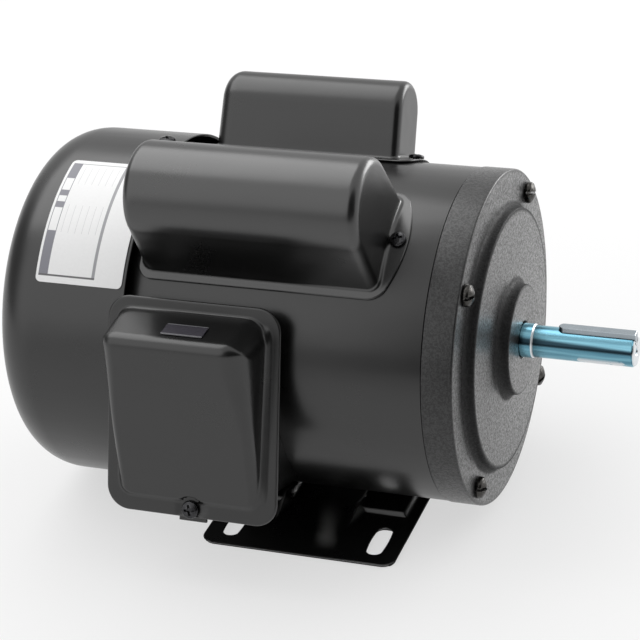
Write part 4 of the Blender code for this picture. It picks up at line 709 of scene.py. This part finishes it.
def capacitor_cover(name, node, angle, size):
    """Dome over its flange: loops of the dome from the ridge down, a hollow fillet at the foot, then the
    flange that lies on the frame, out to its outline and just over its edge.

    size is the half width at the ridge and at the foot, the height over the frame, the radii of the rear and
    front edge and the fillet's."""
    half, foot, rise, round0, round1, fillet = size
    back, far = reach_of(node)
    x0, x1 = back + 2.7 * MM, far - 9.8 * MM
    top = FRAME_R + rise
    spring = top - half
    limit, end_lean = foot + 3.8 * MM, 0.02
    end_arc, near_r, far_r, bend = mm(55, 6, 5, 0.35)

    def half_at(level):
        """Half width of the upright sides, which lean in a little."""
        share = np.clip((spring - level) / (spring - COVER_SKIN * 0.95), 0, 1.2)
        return half + (foot - half) * share

    def outline(px, py):
        """Flange outline: straight sides, a round far end and rounded corners."""
        arc_side = np.hypot(np.maximum(px - (far - end_arc), 0), py) - end_arc
        near_end = blunt(back - px, np.abs(py) - limit, near_r)
        far_end = blunt(arc_side, np.abs(py) - limit, far_r)
        return np.maximum(near_end, far_end)

    foot_level = sqrt(COVER_SKIN ** 2 - foot ** 2) + fillet
    arch = np.sin(np.linspace(pi / 2, 0, 48))
    levels = np.concatenate((spring + half * arch, np.linspace(spring, foot_level, 9)[1:]))
    x, y = cover_loops(levels, half_at, top, half, x0, x1, round0, round1)
    middle, reach = (x0 + x1) / 2, (x1 - x0) / 2
    x = x - end_lean * (levels[:, None] - foot_level) * ((x - middle) / reach)
    fan = corner_fan()
    out = points(np.cos(fan), np.sin(fan))
    hub = points(x[-1], y[-1]) + out * fillet
    hub_level = np.sqrt((COVER_SKIN + fillet) ** 2 - hub[:, 1] ** 2)
    share = np.clip((spring - levels) / (spring - foot_level), 0, 1)
    z = levels[:, None] + share[:, None] * (hub_level - foot_level)
    dome = points(x, y, z)
    flat_rows = np.linspace(0, 1, 6)[:-1, None]
    crown = points(x[:1], y[:1] * flat_rows, z[:1])
    start = points(-out[:, 0], -out[:, 1], 0)
    stop = points(0, -hub[:, 1], -hub_level) / (COVER_SKIN + fillet)
    sweep = np.arccos(np.clip((start * stop).sum(-1), -1, 1))[None, :, None]
    spokes = swing(start, stop, sweep, np.linspace(0, 1, 9)[1:, None, None])
    hollow = np.concatenate((hub, hub_level[:, None]), axis=1)[None] + spokes * fillet
    seat = hollow[-1, :, :2]
    edge_out = border(np.zeros_like(fan), np.full_like(fan, 30 * MM),
                      lambda d: outline(seat[:, 0] + d * out[:, 0], seat[:, 1] + d * out[:, 1]), 26)[0]
    edge_out = np.maximum(edge_out, bend + 0.1 * MM)
    away = (edge_out - bend)[None, :] * np.linspace(0, 1, 7)[1:, None]
    px, py = seat[:, 0] + away * out[:, 0], seat[:, 1] + away * out[:, 1]
    ring = points(px, py, np.sqrt(COVER_SKIN ** 2 - py ** 2))
    edge = seat + out * edge_out[:, None]
    lip = points(edge[:, 0], edge[:, 1], np.sqrt((COVER_SKIN - bend) ** 2 - edge[:, 1] ** 2))[None]
    piece = surface(name, radial(angle, np.concatenate((crown, dome, hollow, ring, lip))), around=True,
                    inside=radial(angle, np.array((middle, 0.0, FRAME_R * 0.9))))
    return with_wall(piece, SHEET)


# ---------------- terminal box cover

def box_lid():
    """Wedge pressed out of a flat flange that leans back over the box.

    Over each point of the flange's plan the skin is where the measure of the shape is zero. The measure joins
    four planes (upright front, level top and two sides), with round edges between them, to the flange with a
    hollow fillet, and takes a shallow dish out of it at the screw."""
    t = radians(BOX_TILT)
    x0, x1 = reach_of("terminal_box_cover")
    screw_x = middle_x("box_cover_screw")
    skin = LID_SKIN
    front, top = -FRAME_R - 28.4 * MM, 46.4 * MM
    v0, v1, low_v = mm(-82.8, 22.8, -74.6)
    top_v = (top - skin * sin(t)) / cos(t)
    apex_v = front * sin(t) + top * cos(t)
    depth = front * -cos(t) + top * sin(t) - skin
    left, right = x0 + 4.9 * MM, x1 - 6.2 * MM
    middle = (left + right) / 2
    front_lean = 2.0 / 96
    side_lean, lean_run, corner, bend_r, dish_r = mm(2.6, 30, 11.5, 0.9, 6.6)
    brow_r, plan_r, plan_edge, dish_edge = mm(5.5, 10.0, 1.5, 0.8)

    def loop(inset, radius, xa, xb, va, vb):
        """A rounded rectangle with as many points as every other loop, so that loops can be blended."""
        xa, xb, va, vb = xa + inset, xb - inset, va + inset, vb - inset
        q, w, s = (np.linspace(0, stop, count + 1)[:-1] for stop, count in ((pi / 2, 14), (1, 36), (1, 44)))
        out, up = radius * np.cos(q), radius * np.sin(q)
        ia, ib, ja, jb = xa + radius, xb - radius, va + radius, vb - radius
        wide, tall = xb - xa - 2 * radius, vb - va - 2 * radius
        xs = (xb + 0 * s, ib + out, ib - wide * w, ia - up, xa + 0 * s, ia - out, ia + wide * w, ib + up)
        vs = (ja + tall * s, jb + up, vb + 0 * w, jb + out, jb - tall * s, ja - up, va + 0 * w, ja - out)
        return points(np.concatenate(xs), np.concatenate(vs))

    edge = loop(0, corner, x0, x1, v0, v1)
    shoulder = loop(bend_r, corner - bend_r, x0, x1, v0, v1)
    foot = loop(-1.8 * MM, 10 * MM, left, right, low_v, top_v)
    brow = loop(1 * MM, 9.0 * MM, left + side_lean, right - side_lean, low_v + 2 * MM, apex_v)
    core = loop(14 * MM, 6.0 * MM, left, right, low_v, apex_v)
    centre = np.array((middle, (low_v + apex_v) / 2))
    heart = centre + (core - centre) * np.array((0.0, 0.55))
    plan = [shoulder[None]]
    for a, b, count, power in ((shoulder, foot, 8, 1.0), (foot, brow, 44, 1.0), (brow, core, 16, 1.6),
                               (core, heart, 10, 1.0)):
        plan.append(a + (b - a) * (np.linspace(0, 1, count + 1)[1:] ** power)[:, None, None])
    plan = np.concatenate(plan)
    px, pv = plan[..., 0], plan[..., 1]

    def hollow_join(a, b, radius):
        """Union of two shapes with a hollow fillet between them."""
        near = np.hypot(np.maximum(radius - a, 0), np.maximum(radius - b, 0))
        return np.maximum(radius, np.minimum(a, b)) - near

    def measure(c, x=px, v=pv):
        """Below zero inside the pressing, at a height c over a point of the plan."""
        y = v * sin(t) - c * cos(t)
        z = v * cos(t) + c * sin(t)
        reach = np.clip((front + lean_run - y) / lean_run, 0, 1.3)
        sides = np.maximum(left + side_lean * reach - x, x - (right - side_lean * reach))
        sides = sides / hypot(1, side_lean / lean_run)
        plan_ends = blunt(np.maximum(v - top_v, low_v - v), np.maximum(left - x, x - right), plan_r)
        faces = blunt(front - front_lean * (top - z) - y, z - top, brow_r)
        rightward, upward = ease((x - middle) / (20 * MM)), ease((z + 5 * MM) / (45 * MM))
        soft_edge = 3.6 * MM + 1.2 * MM * rightward + (3.0 + 3.6 * rightward) * MM * upward
        wedge = blunt(blunt(faces, sides, soft_edge), plan_ends, plan_edge)
        joined = hollow_join(wedge, c - skin, 2.0 * MM + 2.9 * MM * ease((x - right + 3 * MM) / (4 * MM)))
        dish = np.hypot(np.hypot(x - screw_x, v - LID_SCREW_V), (c - skin) * 0.5) - dish_r
        return blunt(joined, np.minimum(-dish, c - skin), dish_edge)

    under, over = border(np.full_like(px, skin - 6 * MM), np.full_like(px, skin + depth + 4 * MM),
                         measure, 40)
    grid = points(px, pv, (under + over) / 2)
    bend = np.linspace(pi / 2, 0, 6)[:-1, None, None]
    rim_xv = edge + (shoulder - edge) * (1 - np.sin(bend))
    rim_c = skin - bend_r * (1 - np.cos(bend)) + 0 * rim_xv[..., :1]
    grid = np.concatenate((np.concatenate((rim_xv, rim_c), axis=-1), grid))
    piece = surface("box_lid", radial(BOX_TILT, grid), around=True,
                    inside=radial(BOX_TILT, np.array((middle, -30 * MM, FRAME_R * 0.9))))
    return with_wall(piece, SHEET)


# ---------------- foot plate

def foot_plate():
    """Pressed plate: a flat sheet with slots, two saddles raised to meet the frame and soft folds beside
    them. The sheet is a grid whose lines frame each slot; inside such a frame, loops run in to the slot's
    outline."""
    (x0, y0, _), (x1, y1, _) = corners_of("base_plate")
    thick, corner, lip, lip_drop = mm(2.3, 7.0, 0.4, 0.35)
    slot_x, slot_y, slot_r, slot_run, pad_x, pad_y = mm(38.1, 61.9, 4.35, 7.1, 6.2, 13.4)
    half_x, half_y = (x1 - x0) / 2, (y1 - y0) / 2 + 1.8 * MM
    saddle_x, saddle_half, saddle_end, tall_y, low_step = mm(31.3, 13.5, 39.8, 24, 2.6)
    end_slope, flank_slope, tall_slope = 3.5, 2.5, 2.0
    blend, fold_blend = mm(0.9, 0.5)
    xs = mirrored(spread(0, (15 * MM, 10), (23 * MM, 30), (slot_x - pad_x, 10), (slot_x + pad_x, 28),
                         (half_x - lip, 12), (half_x, 1)))
    ys = mirrored(spread(0, (36 * MM, 12), (41 * MM, 30), (slot_y - pad_y, 9), (slot_y + pad_y, 26),
                         (half_y - lip, 5), (half_y, 1)))
    gx, gy = np.meshgrid(xs, ys, indexing="ij")
    mid_x, mid_y = (xs[:-1] + xs[1:]) / 2, (ys[:-1] + ys[1:]) / 2
    in_x, in_y = np.abs(np.abs(mid_x) - slot_x) < pad_x, np.abs(np.abs(mid_y) - slot_y) < pad_y

    def soft_most(value, soft):
        """The value where it is above zero, eased into zero below that."""
        return soft * np.log1p(np.exp(np.clip(value / soft, -40, 40)))

    def shape(px, py):
        """Rounds the plate's corners and lifts the folds and saddles."""
        qx, qy = round_plan(px, py, half_x, half_y, corner)
        over_edge = np.maximum(np.maximum(np.abs(px) - half_x, np.abs(py) - half_y) + lip, 0)
        sheet = thick - lip_drop * (over_edge / lip) ** 2
        ax, ay = np.abs(qx), np.abs(qy)
        seat = AXIS - np.sqrt((FRAME_R + GAP) ** 2 - np.clip(qy, -50 * MM, 50 * MM) ** 2)
        limits = np.stack((seat - thick, (saddle_end - ay) * end_slope,
                           (saddle_half - np.abs(ax - saddle_x)) * flank_slope,
                           low_step + np.maximum(tall_y - ay, 0) * tall_slope))
        raised = soft_most(-blend * np.log(np.exp(-limits / blend).sum(0)), blend)
        out = np.clip((ay - 36 * MM) / (22 * MM), 0, 1)
        ridge = np.abs(ax - (20.4 - 1.6 * out) * MM) / (4.5 * MM * (1 - 0.75 * out))
        dart = 5.0 * MM * (1 - out) * (1 - ridge) - 4 * MM * ease((34 * MM - ay) / (8 * MM)) - 0.6 * MM
        return points(qx, qy, sheet + (raised + soft_most(dart - raised, fold_blend)))

    flat = surface("foot_plate", shape(gx, gy), inside=(0, 0, -1.0), keep=~(in_x[:, None] & in_y[None, :]))
    parts = [flat]
    inner_x = np.where(np.abs(np.abs(xs) - slot_x) < pad_x + 1e-7)[0]
    inner_y = np.where(np.abs(np.abs(ys) - slot_y) < pad_y + 1e-7)[0]
    for ix in (inner_x[xs[inner_x] < 0], inner_x[xs[inner_x] > 0]):
        for iy in (inner_y[ys[inner_y] < 0], inner_y[ys[inner_y] > 0]):
            bx, by = xs[ix], ys[iy]
            flat_x, flat_y = 0 * bx[1:], 0 * by[1:]
            px = np.concatenate((bx[:-1], flat_y + bx[-1], bx[:0:-1], flat_y + bx[0]))
            py = np.concatenate((flat_x + by[0], by[:-1], flat_x + by[-1], by[:0:-1]))
            cx, cy = (bx[0] + bx[-1]) / 2, (by[0] + by[-1]) / 2
            frame_line = points(px, py)
            spine = points(cx, cy + np.clip((py - cy) * slot_run / pad_y * 1.25, -slot_run, slot_run))
            away = frame_line - spine
            away /= np.linalg.norm(away, axis=1)[:, None]
            hole, lipped = spine + away * slot_r, spine + away * (slot_r + lip)
            rows = np.stack((frame_line, (frame_line + lipped) / 2, lipped, hole))
            loops = shape(rows[..., 0], rows[..., 1])
            loops[-1, :, 2] -= lip_drop
            parts.append(surface("slot_rim", loops, around=True, inside=(cx, cy, -1.0)))
    bm = bmesh.new()
    for part in parts:
        bm.from_mesh(part.data)
    bmesh.ops.remove_doubles(bm, verts=bm.verts, dist=0.01 * MM)
    bm.to_mesh(flat.data)
    bm.free()
    for part in parts[1:]:
        bpy.data.objects.remove(part)
    flat.data.shade_smooth()
    return with_wall(flat, thick)


# ---------------- shaft, key and screws

def shaft():
    """Stepped shaft, spun from its profile; along the keyseat the columns stop at its sides and a flat floor
    joins them."""
    x0, x1 = reach_of("shaft")
    r, journal, rotor, fan_seat, centre_r = mm(7.9375, 8.5, 11.0, 7.9, 2.4)
    shoulder, rotor_front, rotor_back, journal_back = mm(104.2, 84.3, -87.0, -102.3)
    key_low = low("shaft_key")
    half = 2.38 * MM + GAP
    seat_x, floor = key_low.x - GAP, key_low.z - GAP - AXIS
    nose = rounded(((x1 - 3.0 * MM, 0, 0), (x1 - 1.8 * MM, 1.1 * MM, 0), (x1, centre_r, 0.2),
                    (x1, r - 0.9 * MM, 0.15), (x1 - 0.9 * MM, r, 0.25)), 3)
    run = spread(x1 - 1.3 * MM, (seat_x + half, 12), (seat_x, 12), (shoulder + 1.2 * MM, 3))
    tail = rounded(((shoulder + 0.5 * MM, r, 0.0), (shoulder + 0.1 * MM, journal, 0.15),
                    (rotor_front, journal, 0.2), (rotor_front, rotor, 0.5),
                    (rotor_back, rotor, 0.5), (rotor_back, journal, 0.2),
                    (journal_back, journal, 0.3), (journal_back, fan_seat, 0.2),
                    (x0, fan_seat, 1.0), (x0, 0, 0)), 3)
    stations = np.concatenate((nose[:, 0], run, tail[:, 0]))
    radii = np.concatenate((nose[:, 1], np.full(len(run), r), tail[:, 1]))
    inside = stations - seat_x
    wide = np.sqrt(np.maximum(half ** 2 - (half - np.clip(inside, 0, half)) ** 2, 0))
    reach = np.minimum(wide, np.maximum(radii, 1e-9) * 0.999)
    cut = (inside > 0) & (radii > floor)
    edge = np.arcsin(np.clip(reach / np.maximum(radii, 1e-9), 0, 0.999))
    edge = np.where(cut, edge, radians(0.01))[:, None]
    turn = edge + (2 * pi - 2 * edge) * np.linspace(0, 1, 65)[None, :]
    radii, cut = radii[:, None], cut[:, None]
    floor_y = radii * np.sin(edge) * np.linspace(-1, 1, 7)[None, :]
    floor_z = np.where(cut, floor, np.sqrt(np.maximum(radii ** 2 - floor_y ** 2, 0)))
    y = np.concatenate((radii * np.sin(turn), floor_y), axis=1)
    z = np.concatenate((radii * np.cos(turn), floor_z), axis=1)
    grid = points(stations[:, None], y, AXIS + z)
    return surface("shaft_bar", grid, around=True, inside=(0, 0, AXIS), sharp=25.0)


def key_bar():
    """Square key with one round end."""
    (x0, y0, _), (x1, y1, _) = corners_of("shaft_key")
    half = (y1 - y0) / 2
    turn = np.linspace(pi / 2, 3 * pi / 2, 25)
    nose = points(x0 + half + half * np.cos(turn), half * np.sin(turn))
    return slab("key_bar", "shaft_key", np.concatenate((nose, ((x1, -half), (x1, half)))), 0.25 * MM)


def bare_tag():
    """Small plate on the box cover, its corners just rounded."""
    (x0, y0, _), (x1, y1, _) = corners_of("cover_tag")
    outline = rounded([(x, y, 0.6) for x, y in ((x1, y0), (x1, y1), (x0, y1), (x0, y0))], 4)
    return slab("bare_tag", "cover_tag", outline, 0.15 * MM)


def screw(name, angle, x, out, size, drive, spin, along=False, crown=0.35, y=0.0):
    """Pan-head screw spun from its profile, its drive pressed into the crown by a smooth step.

    size is the head's radius and height, the shank's radius and length. Local Z points out of the head: away
    from the shaft at the angle, or along the shaft. x and out are the seat's station and its distance from
    the axis."""
    head_r, head_h, shank_r, length = size
    round_r, soft = head_r * 0.20, 0.14 * MM
    rim = np.linspace(0, pi / 2, 9)[1:]
    top_r = np.linspace(0, head_r * 0.80, 30)
    crown_z = head_h * (1 - crown * (top_r / head_r) ** 2)
    radii = np.concatenate((top_r, head_r * 0.80 + round_r * np.sin(rim),
                            [head_r, head_r - 0.1 * MM, shank_r, shank_r, shank_r * 0.7, 0.0]))
    levels = np.concatenate((crown_z, crown_z[-1] * (1 - 0.62 * (1 - np.cos(rim))),
                             [0.1 * MM, 0.0, 0.0, -length + 0.5 * MM, -length, -length]))
    turn = np.arange(SCREW_STEPS) * 2 * pi / SCREW_STEPS
    px, py = radii[:, None] * np.cos(turn), radii[:, None] * np.sin(turn)
    pz = levels[:, None] + 0 * px
    c, s = cos(radians(spin)), sin(radians(spin))
    u, v = np.abs(px * c + py * s), np.abs(py * c - px * s)
    if drive == "slot":
        cut, deep = 1 - ease((u - 0.6 * MM) / soft), head_h * 0.55
    else:
        arm, deep = head_r * 0.55, head_h * 0.5
        arm_half, core_r = mm(0.42, 0.95)
        one, two = ((1 - ease((a - arm_half) / soft)) * (1 - ease((b - arm) / (soft * 2)))
                    for a, b in ((u, v), (v, u)))
        cut = np.maximum(np.maximum(one, two), 1 - ease((np.hypot(u, v) - core_r) / (soft * 2)))
    on_head = (levels > head_h * 0.12)[:, None]
    pz = np.where(on_head, np.maximum(pz - cut * deep, np.minimum(pz, head_h * 0.2)), pz)
    if along:
        a = radians(angle)
        grid = points(x + pz, -out * cos(a) + px, AXIS + out * sin(a) + py)
    else:
        grid = radial(angle, points(x + px, y + py, out + pz))
    return surface(name, grid, around=True, sharp=50.0)


def through_bolt(name, node, angle, spin):
    """Long bolt from its slotted head on the rim to its nut behind the rear bell."""
    (x0, y0, z0), (x1, y1, z1) = corners_of(node)
    a = radians(angle)
    circle = -((y0 + y1) / 2) * cos(a) + ((z0 + z1) / 2 - AXIS) * sin(a)
    head_r, head_h, shank_r = mm(5.35, 4.4, 2.4)
    seat = x1 - head_h
    return screw(name, angle, seat, circle, (head_r, head_h, shank_r, seat - x0), "slot", spin, True, 0.5)


def nameplate():
    """White plate bent round the fan cover, its corners rounded, carrying its own flat coordinates."""
    radius = radius_of("fan_cover") + GAP + LABEL_SHEET
    half_x, half_y, corner = (high("nameplate").x - low("nameplate").x) / 2, 34.3 * MM, 2.5 * MM
    u, v = np.meshgrid(np.linspace(-1, 1, 61), np.linspace(-1, 1, 91), indexing="ij")
    px, py = round_plan(u * half_x, v * half_y, half_x, half_y, corner)
    turn = np.arcsin(np.clip(py / radius, -1, 1))
    local = points(middle_x("nameplate") + px, radius * np.sin(turn), radius * np.cos(turn))
    piece = surface("name_plate", radial(LABEL_ANGLE, local), inside=(middle_x("nameplate"), 0, AXIS),
                    uv=points(px, radius * turn))
    return with_wall(piece, LABEL_SHEET), label_print(2 * half_x, 2 * radius * asin(half_y / radius))


# ---------------- dressing the motor

def put(piece, body, slot, finish, *nodes):
    """Dresses a piece, hangs it on its body and lets it stand for its nodes."""
    piece.data.materials.clear()
    piece.data.materials.append(finish)
    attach(piece, body)
    if nodes:
        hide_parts(*nodes)


for node in frame["nodes"].values():
    for slot in node.material_slots:
        slot.material = FINISHES.get(slot.material.name.split(".")[0], PAINT)

put(frame_tube(), "housing", "black_paint", PAINT, "frame_shell")
put(front_bell(), "housing", "cast_black", CAST, "front_end_bell")
put(fan_cover(), "housing", "black_paint", PAINT, "fan_cover")
put(foot_plate(), "housing", "black_paint", foot_paint(), "base_plate")
put(box_lid(), "housing", "black_paint", PAINT, "terminal_box_cover")
put(capacitor_cover("start_cover", "start_capacitor_cover", START_ANGLE, mm(24.0, 26.0, 51.6, 5.0, 4.6, 2.2)),
    "housing", "black_paint", black_paint("polished black enamel", 1.0), "start_capacitor_cover")
put(capacitor_cover("run_cover", "run_capacitor_cover", RUN_ANGLE, mm(15.6, 15.7, 39.7, 8.0, 3.8, 1.8)),
    "housing", "black_paint", PAINT, "run_capacitor_cover")
put(shaft(), "rotor", "blued_steel", FINISHES["blued_steel"], "shaft")
put(key_bar(), "rotor", "steel", KEY_STEEL, "shaft_key")
for number, angle, spin in ((1, 45, 80), (2, 135, 65), (3, 225, 100), (4, 315, 70)):
    node = f"through_bolt_{number}"
    bolt = through_bolt(f"bolt_{number}", node, angle, spin)
    put(bolt, "housing", "dark_zinc", FINISHES["dark_zinc"], node)

flange_seat, cap_seat, lid_seat = COVER_SKIN + GAP, radius_of("fan_cover") + GAP, LID_SKIN + GAP
cover_screw, cap_screw, lid_screw = mm(3.9, 2.3, 1.7, 4.5), mm(4.2, 2.2, 1.5, 6.0), mm(4.4, 2.2, 1.7, 8.0)
for name, node, angle, seat, size, spin, y in (
        ("start_capacitor_screw", "start_capacitor_cover_screw", START_ANGLE, flange_seat, cover_screw,
         20, 0),
        ("run_capacitor_screw", "run_capacitor_cover_screw", RUN_ANGLE, flange_seat, cover_screw, 35, 0),
        ("fan_cap_screw_1", "fan_cover_screw_1", 97.0, cap_seat, cap_screw, 30, 0),
        ("fan_cap_screw_2", "fan_cover_screw_2", 212.0, cap_seat, cap_screw, 30, 0),
        ("fan_cap_screw_3", "fan_cover_screw_3", 332.0, cap_seat, cap_screw, 30, 0),
        ("box_screw", "box_cover_screw", BOX_TILT, lid_seat, lid_screw, 8, LID_SCREW_V)):
    made = screw(name, angle, middle_x(node), seat, size, "cross", spin, y=y)
    put(made, "housing", "black_zinc", FINISHES["black_zinc"], node)
plate, plate_finish = nameplate()
put(plate, "housing", "white_label", plate_finish, "nameplate")
put(bare_tag(), "housing", "grey_tag", FINISHES["grey_tag"], "cover_tag")


# ---------------- studio

FLOOR_HALF, FLOOR_Z = 4, -0.0002
SURROUND_LEVEL = 0.96
PATCHES = (             # turn, lift, inner and outer half angle in degrees, and the share of light lost
    (-50, 15, 34, 48, 0.97), (180, 8, 14, 38, 0.75), (132, 14, 8, 30, 0.3), (-120, 30, 14, 40, -0.45),
    (-98, -2, 8, 21, 0.7))
CAMERA_PLACE, CAMERA_LENS = (0.38582, -0.93175, 0.65971), 129.64
CAMERA_TURN, CAMERA_LIFT, CAMERA_ROLL = 22.89, 29.463, -5.942


def direction(turn, lift):
    """Unit direction at a turn about the upright axis and a lift above the floor, in degrees."""
    a, e = radians(turn), radians(lift)
    return cos(a) * cos(e), sin(a) * cos(e), sin(e)


def pale_floor():
    """Matt pale sheet that keeps a faint shadow: what looks at it straight, in gloss or through glass sees it
    lifted most of the way to white."""
    f = Finish("pale floor", (0.76, 0.76, 0.76), 0.9)
    seen = [f.node("ShaderNodeLightPath", out=f"Is {ray} Ray")
            for ray in ("Camera", "Glossy", "Transmission")]
    white = f.node("ShaderNodeEmission", None, {"Color": (1.0, 1.0, 1.0), "Strength": 1.0})
    lifted = f.node("ShaderNodeMixShader", None, {0: seen[0].most(seen[1]).most(seen[2]) * 0.6,
                                                  1: Value(f, f.shader.outputs[0]), 2: white})
    f.tree.links.new(lifted.socket, f.tree.nodes["Material Output"].inputs["Surface"])
    return f.material


def surround():
    """Pale surround with soft round patches that are dimmer, such as the open room in front, or brighter."""
    world = bpy.data.worlds.new("studio")
    bpy.context.scene.world = world
    world.use_nodes = True
    f = Tree(world.node_tree)
    toward = f.node("ShaderNodeTexCoord", out="Generated")
    backdrop = world.node_tree.nodes["Background"]
    level = 1.0
    for turn, lift, inner, outer, loss in PATCHES:
        near = f.node("ShaderNodeVectorMath", {"operation": "DOT_PRODUCT"},
                      {0: toward, 1: direction(turn, lift)}, out="Value")
        patch = f.node("ShaderNodeMapRange", {"interpolation_type": "SMOOTHSTEP"},
                       {"Value": near, "From Min": cos(radians(outer)), "From Max": cos(radians(inner))})
        level = level * (1.0 - patch * loss)
    level = level * SURROUND_LEVEL
    f.tree.links.new(level.socket, backdrop.inputs["Strength"])
    backdrop.inputs["Color"].default_value = (1, 1, 1, 1)


def softbox(name, turn, lift, distance, width, height, radiance):
    """Rectangular lamp aimed at the motor; its power follows from its area and how bright its face looks."""
    data = bpy.data.lights.new(name, "AREA")
    data.shape = "RECTANGLE"
    data.size, data.size_y, data.energy = width, height, radiance * pi * width * height
    lamp = linked(name, data)
    away = Vector(direction(turn, lift))
    lamp.location = Vector((0, 0, AXIS)) + away * distance
    lamp.rotation_euler = away.to_track_quat("Z", "Y").to_euler()


def studio():
    """Pale floor, soft lamps, a pale surround and the camera."""
    mesh = bpy.data.meshes.new("studio_floor")
    corners = [(FLOOR_HALF * x, FLOOR_HALF * y, FLOOR_Z) for x, y in ((-1, -1), (1, -1), (1, 1), (-1, 1))]
    mesh.from_pydata(corners, [], [(0, 1, 2, 3)])
    mesh.materials.append(pale_floor())
    floor = linked("studio_floor", mesh)
    surround()
    softbox("top_softbox", 155, 60, 1.6, 1.7, 1.2, 2.1)
    softbox("right_softbox", 54, 11, 1.5, 1.0, 0.6, 6.0)

    data = bpy.data.cameras.new("camera")
    data.sensor_width, data.lens, data.clip_end = 36.0, CAMERA_LENS, 50
    camera = linked("camera", data)
    a, e, roll = radians(CAMERA_TURN), radians(CAMERA_LIFT), radians(CAMERA_ROLL)
    back = Vector((sin(a) * cos(e), -cos(a) * cos(e), sin(e)))
    right = (-back).cross(Vector((0, 0, 1))).normalized()
    up = right.cross(-back)
    across, upward = right * cos(roll) + up * sin(roll), up * cos(roll) - right * sin(roll)
    turn = Matrix((across, upward, back)).transposed().to_4x4()
    turn.translation = CAMERA_PLACE
    camera.matrix_world = turn
    bpy.context.scene.camera = camera
    bpy.context.scene.view_settings.view_transform = "Standard"


studio()
